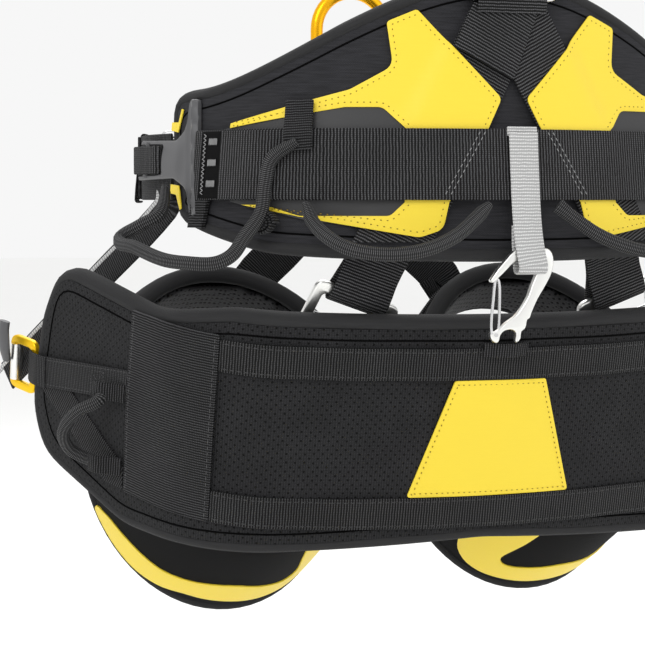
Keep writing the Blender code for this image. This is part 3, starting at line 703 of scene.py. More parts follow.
def zigzag(place, start, end, width, pitch, out):
    a, b = Vector(start), Vector(end)
    count = int((b - a).length / pitch)
    ahead = (b - a) / count
    aside = Vector((-ahead.y, ahead.x)).normalized() * width / 2
    spots = [a + ahead * index + aside * (1 if index % 2 else -1) for index in range(count + 1)]
    return [(place(p.x, p.y, out), place(q.x, q.y, out)) for p, q in zip(spots, spots[1:])]


def threads(name, pairs, radius, finish, body, slotName):
    # every stitch is a short round-ended strand
    work = bmesh.new()
    for start, end in pairs:
        along = (end - start)
        if along.length < 1e-5:
            continue
        ahead = along.normalized()
        wide = ahead.orthogonal().normalized()
        deep = ahead.cross(wide)
        rings = []
        for share, size in ((0.0, 0.45), (0.18, 1.0), (0.82, 1.0), (1.0, 0.45)):
            centre = start + along * share
            spokes = [wide * cos(pi * k / 3) + deep * sin(pi * k / 3) for k in range(6)]
            rings.append([work.verts.new(centre + spoke * radius * size) for spoke in spokes])
        for low, high in zip(rings, rings[1:]):
            for k in range(6):
                work.faces.new((low[k], low[(k + 1) % 6], high[(k + 1) % 6], high[k]))
        work.faces.new(rings[0][::-1])
        work.faces.new(rings[-1])
    bmesh.ops.recalc_face_normals(work, faces=work.faces[:])
    return settle(toPiece(name, work, finish, 60), body, slotName)


def stuffed(piece, voxel, cap, pressure=4.0):
    # voxel remesh, then 20 steps of cloth under pressure; no point may move further than the cap
    remesh = piece.modifiers.new("remesh", "REMESH")
    remesh.mode = "VOXEL"
    remesh.voxel_size = voxel
    bakeDown(piece)
    rest = [vert.co.copy() for vert in piece.data.vertices]
    cloth = piece.modifiers.new("cloth", "CLOTH")
    cloth.settings.use_pressure = True
    cloth.settings.uniform_pressure_force = pressure
    cloth.settings.effector_weights.gravity = 0
    cloth.settings.quality = 4
    cloth.settings.mass = 0.2
    cloth.point_cache.frame_start = 1
    cloth.point_cache.frame_end = 20
    for step in range(1, 21):
        bpy.context.scene.frame_set(step)
    moved = piece.evaluated_get(bpy.context.evaluated_depsgraph_get()).data
    for vert, before, after in zip(piece.data.vertices, rest, [v.co.copy() for v in moved.vertices]):
        shift = after - before
        vert.co = before + shift * min(1.0, cap / max(shift.length, 1e-9))
    piece.modifiers.remove(cloth)
    bpy.context.scene.frame_set(1)
    finer = piece.modifiers.new("finer", "SUBSURF")
    finer.levels = finer.render_levels = 1
    bakeDown(piece)
    piece.data.shade_smooth()
    return piece


def within(outline, spot):
    # whether a flat point lies inside an outline
    inside = False
    for a, b in zip(outline, outline[1:] + outline[:1]):
        if (a.y > spot.y) != (b.y > spot.y) and spot.x < a.x + (spot.y - a.y) * (b.x - a.x) / (b.y - a.y):
            inside = not inside
    return inside


def bakeDown(piece):
    bpy.context.view_layer.update()
    made = bpy.data.meshes.new_from_object(piece.evaluated_get(bpy.context.evaluated_depsgraph_get()))
    piece.modifiers.clear()
    piece.data = made


def slab(name, outline, place, low, high, finish, step=0.012):
    return sewnLayer(name, outline, place, low, high - low, finish, shoulder=0.002, step=step, lowEdge=0.5)


def ease(value, start, end):
    t = min(1.0, max(0.0, (value - start) / (end - start)))
    return t * t * (3 - 2 * t)


# the belt: a bound pad and panel, with the cross straps and the webbing sewn over it
belt = {"strapSlope": 0.53, "strapTop": 0.103, "strapHalf": 0.025, "strapLow": -0.049, "strapHigh": 0.0985,
        "foldHalf": 0.0235, "foldLow": 0.058, "webHalf": 0.0225, "webEnd": 0.2205, "webOut": 0.0062,
        "patchThick": 0.0009, "crown": 0.0034, "pipingInset": 0.0142}


def strapCover(along, up):
    # 1 on a cross strap or beside the back webbing, 0 well away from them
    middle = (belt["strapTop"] - up) * belt["strapSlope"]
    return 1 - ease(abs(abs(along) - middle), belt["strapHalf"] - 0.001, belt["strapHalf"] + 0.012)


def webCover(up):
    return 1 - ease(abs(up), belt["webHalf"] + 0.001, belt["webHalf"] + 0.013)


def panelCrown(along, up):
    swell = belt["crown"] * (1 - ease(abs(up), 0.012, 0.032)) * (1 - ease(abs(along), 0.175, 0.215))
    return swell * (1 - strapCover(along, up)) - 0.0004 * sin(along * 60) ** 2


def patchBase(side):
    high = 0.0037 if side < 0 else 0.0045
    return lambda along, up: 0.0007 + (high - 0.0007) * max(strapCover(along, up), webCover(up))


def webBase(along, up):
    return belt["webOut"] - 0.0022 * ease(abs(along), 0.165, 0.2) - 0.0003 * sin(along * 95) ** 2


pad = stuffed(slab("beltPad", beltOutline(0.010), onWaist, -0.0150, -0.0085, spacerMesh), 0.005, 0.005)
settle(pad, "waist", "black_foam_fabric", "waist_foam")
panel = sewnLayer("beltPanel", beltOutline(0.0080), onWaist, -0.0030, 0.0028, panelCloth, shoulder=0.007,
                  step=0.006, relief=panelCrown, lowEdge=0.1)
settle(panel, "waist", "black_foam_fabric", "waist_shell")


def boundEdge(name, place, outline, out, inPlane, deep, finish, spacing=0.006, closed=True):
    # a tape folded over the edge: an oval that is wide across the thickness of the pad
    line = softened(evened(outline, spacing), 2)
    points = [place(point.x, point.y, out) for point in line]
    outs = [place(point.x, point.y, out + 0.002) - place(point.x, point.y, out) for point in line]
    return sweep(name, points, roundSection(deep, 16, inPlane), finish, across=outs, closed=closed)


binding = boundEdge("beltBinding", onWaist, beltOutline(0.0052), -0.0078, 0.0052, 0.0084, bindingTape)
settle(binding, "waist", "black_webbing", "waist_binding")
pipingLine = softened(evened(beltOutline(belt["pipingInset"]), 0.006), 2)
# the cord's dark colour is painted shade along the seam
piping = sweep("beltSeam", [onWaist(p.x, p.y, -0.0003 + panelCrown(p.x, p.y)) for p in pipingLine],
               roundSection(0.0007, 8), seamShadeCord, closed=True)
settle(piping, "waist", "black_foam_fabric")

accents = {"upper": ((0.2625, 0.0295), (0.2625, 0.0240), (0.2525, 0.0225), (0.2475, 0.0375), (0.2500, 0.0380),
                     (0.2530, 0.0292)),
           "lower": ((0.2570, -0.0120), (0.2565, -0.0180), (0.2480, -0.0190), (0.2410, -0.0290),
                     (0.2390, -0.0280), (0.2450, -0.0130))}
patchCorners = ((0.063, 0.098, 0.003), (0.083, 0.090, 0.003), (0.079, 0.062, 0.009), (0.107, 0.047, 0.02),
                (0.188, 0.0265, 0), (0.188, 0.0235, 0), (0.110, 0.036, 0.015), (0.086, 0.036, 0.008),
                (0.069, 0.020, 0), (0.073, -0.024, 0), (0.082, -0.0325, 0.006), (0.138, -0.0325, 0.006),
                (0.160, -0.0255, 0), (0.176, -0.0255, 0), (0.119, -0.0365, 0.010), (0.064, -0.046, 0.010),
                (0.049, -0.041, 0.009), (0.045, -0.024, 0), (0.019, 0.021, 0), (0.0085, 0.042, 0.005))
# the smooth panels show between each patch's arms and the webbing
smoothPanels = {"upper": ((0.060, 0.010), (0.200, 0.010), (0.200, 0.0215), (0.110, 0.0405), (0.080, 0.0405)),
                "lower": ((0.060, -0.010), (0.060, -0.030), (0.076, -0.0375), (0.128, -0.0365),
                          (0.185, -0.0235), (0.185, -0.010))}
for side, word in sides.items():
    for part, corners in accents.items():
        accent = sewnLayer(f"beltAccent_{part}_{word}", mirrored(flat(corners), side), onWaist, 0.0004, 0.0009,
                           yellowCloth, step=0.005)
        settle(accent, "waist", "yellow_fabric")
    low, high = belt["strapLow"], belt["strapHigh"]
    middle = [(belt["strapTop"] - up) * belt["strapSlope"] for up in (low, high)]
    half = belt["strapHalf"]
    corners = ((middle[0] - half, low), (middle[0] + half, low), (middle[1] + half, high),
               (middle[1] - half, high))
    grain = atan2(1, -belt["strapSlope"] * side)
    base = 0.0006 if side < 0 else 0.0026
    strap = sewnLayer(f"crossStrap_{word}", mirrored(flat(corners), side), onWaist, base, 0.0016, wovenWebbing,
                      grain)
    settle(strap, "waist", "black_webbing", f"cross_strap_{word}")
    # the strap's end, folded back over itself below the link
    low = belt["foldLow"]
    middle = [(belt["strapTop"] - up) * belt["strapSlope"] for up in (low, high)]
    half = belt["foldHalf"]
    corners = ((middle[0] - half, low - 0.004), (middle[0] + half - 0.0075, low + 0.0165),
               (middle[1] + half, high + 0.004), (middle[1] - half, high + 0.004))
    fold = sewnLayer(f"crossStrapFold_{word}", mirrored(flat(corners), side), onWaist,
                     0.0026 if side > 0 else 0.0044, 0.0015, wovenWebbing, grain)
    settle(fold, "waist", "black_webbing")
    patchLine = mirrored(rounded(patchCorners, 5), side)
    patch = sewnLayer(f"backPatch_{word}", patchLine, onWaist, patchBase(side), belt["patchThick"], yellowCloth,
                      step=0.005, shoulder=0.0007)
    settle(patch, "waist", "yellow_fabric", f"back_patch_{word}")
    for part, corners in smoothPanels.items():
        smooth = sewnLayer(f"smoothPanel_{part}_{word}", mirrored(flat(corners), side), onWaist,
                           lambda along, up: 0.0003 + 0.0027 * max(webCover(up), strapCover(along, up)),
                           0.0005, coatedCloth, step=0.005)
        settle(smooth, "waist", "black_foam_fabric")
    out = patchBase(side)
    inner = [point for point in insetOutline(patchLine, 0.0030) if within(patchLine, point)]
    holes = seam(onWaist, inner, lambda x, y: out(x, y) + 0.0008, 0.0011, 0.0030)
    # the stitches' dark ochre carries painted shade
    threads(f"patchStitch_{word}", holes, 0.00038, ochreThreadShaded, "waist", "yellow_fabric")
    # the two rows that hold the patch and the cross strap to the webbing
    row = []
    for shift in (0.0, 0.0035):
        line = flat(((0.0215 + shift, 0.0205), (0.0455 + shift, -0.0205)))
        row += seam(onWaist, mirrored(line, side), belt["webOut"] + 0.0015, 0.0022, 0.0018, closed=False)
    threads(f"webbingStitch_{word}", row, 0.0003, greyThread, "waist", "black_webbing")

webbing = sewnLayer("backWebbing", box(-belt["webEnd"], belt["webEnd"], -belt["webHalf"], belt["webHalf"]),
                    onWaist, webBase, 0.0015, wovenWebbing, step=0.006)
settle(webbing, "waist", "black_webbing", "waist_webbing")
for side, word in sides.items():
    over = sewnLayer(f"webbingOverlay_{word}", mirrored(box(0.1235, 0.1930, -0.0218, 0.0218, 0.001), side),
                     onWaist, lambda along, up: webBase(along, up) + 0.0016, 0.0013, wovenWebbing, step=0.006)
    settle(over, "waist", "black_webbing")
    # the end is turned under and covered by a smooth tab, tacked down in three places
    # the tab's cloth carries the same painted shade as the leg panels
    cap = sewnLayer(f"webbingEnd_{word}", mirrored(box(0.1925, 0.2120, -0.0215, 0.0215, 0.001), side), onWaist,
                    lambda along, up: webBase(along, up) + 0.0014, 0.0008, legClothShaded, step=0.006)
    settle(cap, "waist", "black_webbing")
    tacks = []
    for up in (0.0150, 0.0015, -0.0120):
        tacks += barTack(onWaist, (side * 0.1995, up), 0.0064, 0.0044, 0.0071, count=7)
    threads(f"webbingTacks_{word}", tacks, 0.0004, greyThread, "waist", "black_webbing")
    edge = zigzag(onWaist, (side * 0.2075, 0.0200), (side * 0.2075, -0.0190), 0.0026, 0.0013, 0.0068)
    threads(f"webbingZigzag_{word}", edge, 0.00028, greyThread, "waist", "black_webbing")
    # a folded tab of narrow webbing hangs below the webbing's end
    tab = sewnLayer(f"webbingTab_{word}", mirrored(flat(((0.203, -0.017), (0.220, -0.017), (0.2225, -0.0405),
                                                          (0.2075, -0.0405))), side), onWaist, 0.0016, 0.0034,
                    narrowWebbing, pi / 2, shoulder=0.0015)
    settle(tab, "waist", "black_webbing")
print("belt sewn")

# side brackets: a flange, a waisted neck and the bar that carries the webbing loop
bracket = {"flange": 0.0032, "ridge": 0.0026}
bracketCorners = ((0.2120, -0.0330, 0.004), (0.2235, -0.0330, 0.004), (0.2300, -0.0150, 0.014),
                  (0.2500, -0.0080, 0.008), (0.3015, -0.0090, 0.002), (0.3015, -0.0060, 0.001),
                  (0.2660, -0.0052, 0.002), (0.2660, 0.0142, 0.002), (0.3015, 0.0150, 0.001),
                  (0.3015, 0.0180, 0.002), (0.2500, 0.0170, 0.008), (0.2365, 0.0240, 0.014),
                  (0.2360, 0.0435, 0.004), (0.2240, 0.0435, 0.004))


def bracketRelief(along, up):
    # the raised ridge stands at the flange's inner edge, which leans forward as it rises
    reach = abs(along) - 0.2120 - 0.157 * (up + 0.0330)
    ridge = bracket["ridge"] * max(0.0, 1 - abs(reach - 0.0040) / 0.0030) ** 0.5 * (1 - ease(reach, 0.0043,
                                                                                             0.0080))
    hollow = -0.0007 * (1 - ease(abs(reach - 0.0100), 0.001, 0.005))
    neck = 0.0016 * ease(abs(along), 0.233, 0.246) * (1 - (min(1.0, abs(up - 0.0045) / 0.013)) ** 2)
    return ridge + hollow + neck


for side, word in sides.items():
    outline = mirrored(rounded(bracketCorners, 4), side)
    piece = sewnLayer(f"sideBracket_{word}", outline, onWaist, 0.0006, bracket["flange"], mouldedNylon,
                      shoulder=0.0011, step=0.0022, relief=bracketRelief)
    settle(piece, "waist", "dark_moulding", f"side_bracket_{word}")
    # webbing folded round the front bar, on the loop's own body
    route = [onWaist(side * along, 0.0045, out) for along, out in
             ((0.2712, 0.0028), (0.2710, 0.0056), (0.2760, 0.0069), (0.2930, 0.0064), (0.3010, 0.0060),
              (0.3080, 0.0052), (0.3112, 0.0030), (0.3080, 0.0008), (0.3000, 0.0006), (0.2800, 0.0018))]
    loop = sweep(f"sideLoop_{word}", smoothRoute(route, 4), strapSection(0.0190), wovenWebbing,
                 across=(0, 0, 1))
    settle(loop, f"side_loop_{word}", "black_webbing", f"side_loop_{word}")
    pin = [onWaist(side * 0.2900, up, 0.0034) for up in (-0.0075, 0.0045, 0.0165)]
    bar = sweep(f"sideLoopBar_{word}", pin, roundSection(0.0021, 12), mouldedNylon)
    settle(bar, "waist", "dark_moulding")
print("brackets moulded")

# gear loops: woven sleeve over a stiff core, flattened where it is sewn in
gearLoops = {
    "gear_loop_front": ((0.2435, -0.016, 0.0110), (0.231, -0.032, 0.021), (0.236, -0.039, 0.031),
                        (0.247, -0.048, 0.040), (0.218, -0.053, 0.045), (0.197, -0.060, 0.045),
                        (0.183, -0.062, 0.042), (0.173, -0.062, 0.035), (0.167, -0.057, 0.028),
                        (0.164, -0.046, 0.020), (0.158, -0.031, 0.0125), (0.156, -0.012, 0.0125),
                        (0.152, 0.004, 0.0125), (0.137, 0.014, 0.0125)),
    "gear_loop_rear": ((0.131, -0.026, 0.0120), (0.126, -0.037, 0.018), (0.115, -0.048, 0.026),
                       (0.102, -0.054, 0.030), (0.083, -0.056, 0.030), (0.064, -0.053, 0.028),
                       (0.046, -0.045, 0.022), (0.032, -0.034, 0.016), (0.023, -0.026, 0.0130))}
cord = {"radius": 0.0045, "handle": 0.0042, "flattened": 0.07}


def flatEnds(share):
    # the last of a cord narrows in height and widens across, as a sewn end does
    end = min(share, 1 - share) / cord["flattened"]
    return (1.0, 1.0) if end >= 1 else (1.15 - 0.15 * end, 0.62 + 0.38 * end)


for side, word in sides.items():
    for name, route in gearLoops.items():
        line = smoothRoute([onWaist(side * along, up, out) for along, up, out in route], 7)
        sleeve = sweep(f"{name}_sleeve_{word}", line, ribbedSection(cord["radius"]), sleeveWeave,
                       widthAt=flatEnds)
        settle(sleeve, f"{name}_{word}", "black_cord", f"{name}_{word}")
    # the tab that the front loop's rear end is sewn into, over the webbing's top edge
    route = [onWaist(side * (0.1385 - 0.0004 * step), up, out) for step, (up, out) in
             enumerate(((0.0400, 0.0046), (0.0300, 0.0076), (0.0225, 0.0106), (0.0150, 0.0122),
                        (0.0090, 0.0112)))]
    tab = sweep(f"gearTab_{word}", smoothRoute(route, 4), strapSection(0.0185, 0.0024), narrowWebbing,
                across=onWaist(side * 0.148, 0.02) - onWaist(side * 0.128, 0.02))
    settle(tab, "waist", "black_webbing")
    # the rolled end of the webbing that the loop passes
    roll = [onWaist(side * (0.1575 - 0.0062 * cos(turn) * size), -0.0370 + 0.0062 * sin(turn) * size, 0.0095)
            for turn, size in ((step * pi / 6, 1.3 - step * 0.03) for step in range(27))]
    coil = sweep(f"gearRoll_{word}", roll, strapSection(0.0090, 0.0015), narrowWebbing,
                 across=onWaist(side * 0.157, 0, 0.01) - onWaist(side * 0.157, 0, 0))
    settle(coil, "waist", "black_webbing")
print("gear loops sewn in")

# the grey tether and its hook
tether = {"place": 0.003, "width": 0.0200, "hookPlane": -0.160}
front = [(0.0203, 0.0100), (0.0100, 0.0098), (-0.0100, 0.0098), (-0.0300, 0.0102), (-0.0450, 0.0118)]
route = [onWaist(tether["place"], up, out) for up, out in front]
route += [Vector((0.004, -0.1640, -0.0570)), Vector((0.005, -0.1650, -0.0640)),
          Vector((0.005, -0.1642, -0.0676)),
          Vector((0.005, -0.1600, -0.0690)), Vector((0.005, -0.1565, -0.0672)),
          Vector((0.005, -0.1557, -0.0600)),
          Vector((0.004, -0.1560, -0.0500)), onWaist(tether["place"], -0.0380, 0.0088)]
strap = sweep("tetherStrap", smoothRoute(route, 4), strapSection(tether["width"], 0.0014), greyWebbing,
              across=(1, 0, 0))
settle(strap, "tether", "grey_webbing", "tether_strap")
root = sewnLayer("tetherRoot", box(tether["place"] - 0.0102, tether["place"] + 0.0102, 0.0180, 0.0240, 0.0008),
                 onWaist, 0.0079, 0.0007, greyWebbing, pi / 2)
settle(root, "waist", "grey_webbing")
hookCorners = (
    (11.6, -52.7), (16.3, -53.1), (19.5, -56.0), (20.6, -60.9), (20.0, -66.3), (18.0, -71.6), (13.5, -79.1),
    (9.4, -85.5), (5.3, -94.0), (4.2, -97.2), (2.4, -98.3), (1.8, -101.4), (0.7, -104.1), (-1.6, -105.7),
    (-2.2, -110.0), (-5.1, -112.6), (-5.7, -109.9), (-5.2, -106.7), (-7.6, -104.5), (-11.0, -104.4),
    (-14.0, -105.4), (-16.3, -108.0), (-16.9, -110.7), (-18.6, -112.6), (-21.6, -111.1), (-23.0, -108.4),
    (-22.7, -105.7), (-19.3, -105.3), (-15.2, -102.2), (-12.2, -99.6), (-6.4, -95.9), (-1.7, -90.6),
    (2.9, -83.2), (5.2, -76.8), (7.6, -71.5), (9.1, -65.6), (6.2, -61.8), (-4.9, -61.6), (-9.5, -64.1),
    (-21.2, -74.5), (-23.2, -72.7), (-12.5, -60.0), (-7.0, -54.7), (-0.8, -52.5))
ring = [Vector(((x - 5.0) / 1000, (z + 56.0) / 1000)) for x, z in reversed(hookCorners)]
closedRing = smoothRoute([Vector((*point, 0)) for point in ring + ring[:1]], 2)[:-1]
turn = facing((0.005, tether["hookPlane"], -0.056), (1, 0, 0), (0, 0, 1))
hook = plate("hookBody", [flat(closedRing)], 0.0046, turn, tumbledAluminium, 0.0011)
settle(hook, "hook", "aluminium", "hook_body")
wire = [Vector((x / 1000, tether["hookPlane"] - dy, z / 1000)) for x, dy, z in
        ((-22.2, 0.0016, -107.0), (-22.6, 0.0016, -100.0), (-20.9, 0.0012, -84.0), (-19.8, 0.0006, -75.5),
         (-18.2, 0.0, -72.0), (-16.2, -0.0006, -75.5), (-15.6, -0.0012, -84.0), (-15.8, -0.0016, -100.0),
         (-16.6, -0.0016, -107.0))]
gate = sweep("hookGate", smoothRoute(wire, 5), roundSection(0.00095, 12), polishedSteel)
settle(gate, "hook_gate", "steel", "hook_gate")
pin = [Vector((-0.0196, tether["hookPlane"] + dy, -0.1075)) for dy in (-0.0034, 0.0, 0.0034)]
settle(sweep("hookPin", pin, roundSection(0.0012, 14), polishedSteel), "hook", "aluminium")
anchor = [onSeat(along, 0.0565, out) for along, out in
          ((-0.0150, 0.0052), (-0.0100, 0.0062), (-0.0060, 0.0076), (0.0, 0.0080), (0.0060, 0.0076),
           (0.0100, 0.0062), (0.0150, 0.0052))]
loop = sweep("seatAnchor", smoothRoute(anchor, 4), strapSection(0.0095, 0.0018), narrowWebbing,
             across=onSeat(0, 1) - onSeat(0, 0))
settle(loop, "seat", "black_webbing", "seat_anchor")
print("tether and hook hung")

# the metal link at the top of the back, with the cross straps folded over it
link = {"centre": Vector((0, -0.1385, 0.1185)), "half": (0.033, 0.012), "bar": 0.0027}
outline = frameRing(2 * link["half"][0], 2 * link["half"][1], 0.008)
line = [link["centre"] + Vector((point.x, 0, point.y)) for point in outline]
piece = sweep("rearLink", evened(line, 0.002), roundSection(link["bar"], 16), polishedSteel, closed=True)
settle(piece, "rear_link", "steel", "rear_link")
route = [onWaist(0, 0.0965, 0.0064), onWaist(0, 0.1000, 0.0070), Vector((0, -0.1431, 0.1060)),
         Vector((0, -0.1412, 0.1100)), Vector((0, -0.1372, 0.1112)), Vector((0, -0.1345, 0.1085)),
         Vector((0, -0.1345, 0.1020))]
fold = sweep("linkFold", smoothRoute(route, 4), strapSection(0.0480, 0.0016), wovenWebbing, across=(1, 0, 0))
settle(fold, "waist", "black_webbing")
print("link folded in")

# front closure: webbing, adjusting buckles, the sewn block and the gated ring
frontBuckle = {"frame": (0.036, 0.058), "corner": 0.007, "window": (0.018, 0.046), "windowCorner": 0.002,
               "thick": 0.0035, "edge": 0.001, "barAt": 0.0055, "barHalf": 0.0245, "bar": (0.0017, 12)}
closure = {"start": 0.2700, "end": 0.536, "out": -0.0055, "buckle": 0.425, "width": 0.045}
for side, word in sides.items():
    places = [closure["start"] + index * (closure["end"] - closure["start"]) / 40 for index in range(41)]
    points = [onWaist(side * along, 0, closure["out"]) for along in places]
    strap = sweep(f"frontStrap_{word}", points, strapSection(closure["width"], 0.0018), wovenWebbing,
                  across=(0, 0, 1))
    settle(strap, "waist", "black_webbing", f"front_strap_{word}")
    # the free tail, doubled back over the buckle's middle bar and held by an elastic keeper
    tail = [(0.4340, -0.0038), (0.4280, -0.0010), (0.4200, -0.0014), (0.4080, -0.0034), (0.3900, -0.0038),
            (0.3700, -0.0036), (0.3500, -0.0038), (0.3380, -0.0030)]
    strap = sweep(f"frontTail_{word}", smoothRoute([onWaist(side * along, 0, out) for along, out in tail], 4),
                  strapSection(closure["width"] - 0.001, 0.0016), wovenWebbing, across=(0, 0, 1))
    settle(strap, "waist", "black_webbing")
    keeper = [onWaist(side * 0.358, up, out) for up, out in
              ((-0.0235, -0.0050), (-0.0240, -0.0030), (-0.0220, -0.0018), (0.0, -0.0016), (0.0220, -0.0018),
               (0.0240, -0.0030), (0.0235, -0.0050))]
    band = sweep(f"frontKeeper_{word}", smoothRoute(keeper, 3), strapSection(0.0140, 0.0012), bindingTape,
                 across=onWaist(side * 0.363, 0) - onWaist(side * 0.353, 0))
    settle(band, "waist", "black_webbing")
    along = closure["buckle"]
    heading = onWaist(side * (along + 0.01), 0, 0.001) - onWaist(side * (along - 0.01), 0, 0.001)
    turn = facing(onWaist(side * along, 0, 0.001), heading, (0, 0, 1))
    piece = buckleFrame(f"frontBuckle_{word}", frontBuckle, turn, polishedSteel)
    settle(piece, f"front_buckle_{word}", "steel", f"front_buckle_{word}")
    slide = crossBar(f"frontBuckleBar_{word}", frontBuckle, turn, polishedSteel)
    settle(slide, f"front_buckle_{word}", "steel")

ringPlan = {"pivot": Vector((0, 0.1515, 0.028)), "half": 0.0285, "straight": 0.026, "bar": 0.0045}
turn = facing((0, ringPlan["pivot"].y, 0), (1, 0, 0), (0, 0, 1))
for index, (grow, deep, thick) in enumerate(((0.0, -0.0020, 0.0019), (0.0012, 0.0, 0.0019),
                                             (0.0, 0.0020, 0.0019))):
    size = 0.0305 - grow
    stack = plate(f"frontBlock_{index}", [box(-size, size, -0.0225, 0.0225, 0.004)], thick,
                  turn @ Matrix.Translation((0, 0, deep)), wovenWebbing, 0.0006)
    uv = stack.data.uv_layers.new(name="flat")
    for loop in stack.data.loops:
        uv.data[loop.index].uv = (stack.data.vertices[loop.vertex_index].co.x,
                                  stack.data.vertices[loop.vertex_index].co.z)
    settle(stack, "waist", "black_webbing", *(["front_block"] if index == 1 else []))


def onBlock(x, up, out):
    return Vector((x, ringPlan["pivot"].y + out, up))


tacks = []
for x in (-0.022, 0.022):
    for up in (-0.012, 0.0, 0.012):
        tacks += barTack(onBlock, (x, up), 0.0070, 0.0090, 0.0030, count=9)
threads("frontBlockTacks", tacks, 0.0004, greyThread, "waist", "black_webbing")
centre = ringPlan["pivot"] + Vector((0, 0, ringPlan["half"] + ringPlan["straight"]))
half, straight = ringPlan["half"], ringPlan["straight"]
arc = [pi * step / 20 for step in range(21)]
line = [Vector((half, 0, -straight + 0.006))]
line += [Vector((half * cos(turned), 0, -straight - half * sin(turned))) for turned in arc]
line += [Vector((-half * cos(turned), 0, straight + half * sin(turned))) for turned in arc]
line += [Vector((half, 0, straight - 0.006))]
piece = sweep("ventralRing", [centre + point for point in line], roundSection(0.0040, 18, 0.0048),
              yellowAnodised, across=(0, 1, 0))
settle(piece, "ventral_ring", "yellow_anodised", "ventral_ring")
for end in (-1, 1):
    sleeve = [centre + Vector((half, 0, end * (straight - 0.0062 + shift))) for shift in (0.0, 0.004, 0.009)]
    settle(sweep(f"ringCollar_{'top' if end > 0 else 'low'}", sleeve, roundSection(0.0056, 20), yellowAnodised),
           "ventral_ring", "yellow_anodised")
gateLine = [centre + Vector((half, 0, up)) for up in (-0.0168, -0.012, -0.0115, 0.0, 0.0145, 0.015, 0.0193)]
widths = (0.86, 0.86, 1.0, 1.0, 1.0, 0.86, 0.86)
gate = sweep("ringGate", gateLine, ribbedSection(0.0048, 12, 0.08), orangeAnodised,
             widthAt=lambda share: (widths[round(share * 6)],) * 2)
settle(gate, "ring_gate", "orange_anodised", "ring_gate")
print("front closed")

# leg loops: a bound pad round the thigh, webbing with a buckle, and the straps that hold it
leg = {"webHalf": 0.022, "webReach": radians(105), "crown": 0.0022, "round": 2 * pi * legForm["girth"],
       "steps": 72, "buckle": radians(45)}
trimCorners = ((110, 46), (120, 46), (130, 47), (138, 47), (148.6, 43), (157.7, 34.3), (175.2, 32.9),
               (192.5, 36.9),
               (206, 40), (214, 37), (220, 26), (223, 6), (223, -50), (206, -62), (198, -58), (200, -30.5),
               (204, 2), (203, 11), (199.7, 14.3), (188, 6), (176.4, -1.4), (166, 3), (157.6, 9.1),
               (145.6, 16.2), (129.1, 16.4), (118, 20), (109, 34))


def legEdges(along):
    behind = (1 - cos(along / legForm["girth"])) / 2
    return -0.034 - 0.046 * behind, 0.025 + 0.030 * behind


def legCrown(along, across):
    low, high = legEdges(along)
    share = (across - low) / (high - low)
    return leg["crown"] * max(0.0, 4 * share * (1 - share)) ** 0.6


def legRun(low, high, count):
    return [low + (high - low) * index / count for index in range(count + 1)]


runs = legRun(0.0, leg["round"], leg["steps"])
legBuckle = {"frame": (0.034, 0.056), "corner": 0.006, "window": (0.018, 0.044), "windowCorner": 0.002,
             "thick": 0.0035, "edge": 0.001, "barAt": 0.0045, "barHalf": 0.0235, "bar": (0.0016, 12)}
bridge = {"top": (0.019, 0.1515, -0.0235), "foot": radians(-22), "sewn": radians(-30), "width": 0.0330}
riser = {"top": (0.087, -0.116, -0.0695), "foot": (0.150, -0.034, -0.245), "width": 0.0400}
riserBuckle = {"frame": (0.060, 0.046), "corner": 0.007, "window": (0.046, 0.030), "windowCorner": 0.003,
               "thick": 0.0046, "edge": 0.0014, "along": 0.0375, "barAlong": 0.0395}


def riserPlace(start, run, outward):
    # a place by its distance down the riser and its height off it
    def place(along, out):
        return start + run * along + outward * out
    return place


def ribbon(name, place, inset, low, high, finish, crown=0.0):
    # a closed band round the thigh between two heights, edges rounded
    work = bmesh.new()
    layer = work.loops.layers.uv.new("flat")
    profile = ((0.0, 0.3), (0.06, 0.8), (0.16, 1.0), (0.33, 1.0), (0.5, 1.0), (0.67, 1.0), (0.84, 1.0),
               (0.94, 0.8), (1.0, 0.3), (1.0, 0.0), (0.84, 0.0), (0.5, 0.0), (0.16, 0.0), (0.0, 0.0))
    rows = []
    for along in runs[:-1]:
        first, last = legEdges(along)
        first, last = first + inset, last - inset
        row = []
        for share, lift in profile:
            across = first + (last - first) * share
            swell = crown * legCrown(along, across) / leg["crown"] if lift > 0.5 else 0.0
            row.append((work.verts.new(place(along, across, low + (high - low) * lift + swell)), across))
        rows.append(row)
    for index, row in enumerate(rows):
        after = rows[(index + 1) % len(rows)]
        for column in range(len(profile)):
            following = (column + 1) % len(profile)
            face = work.faces.new((row[column][0], row[following][0], after[following][0], after[column][0]))
            spots = ((runs[index], row[column][1]), (runs[index], row[following][1]),
                     (runs[index + 1], after[following][1]), (runs[index + 1], after[column][1]))
            for loop, spot in zip(face.loops, spots):
                loop[layer].uv = spot
    bmesh.ops.recalc_face_normals(work, faces=work.faces[:])
    return toPiece(name, work, finish)


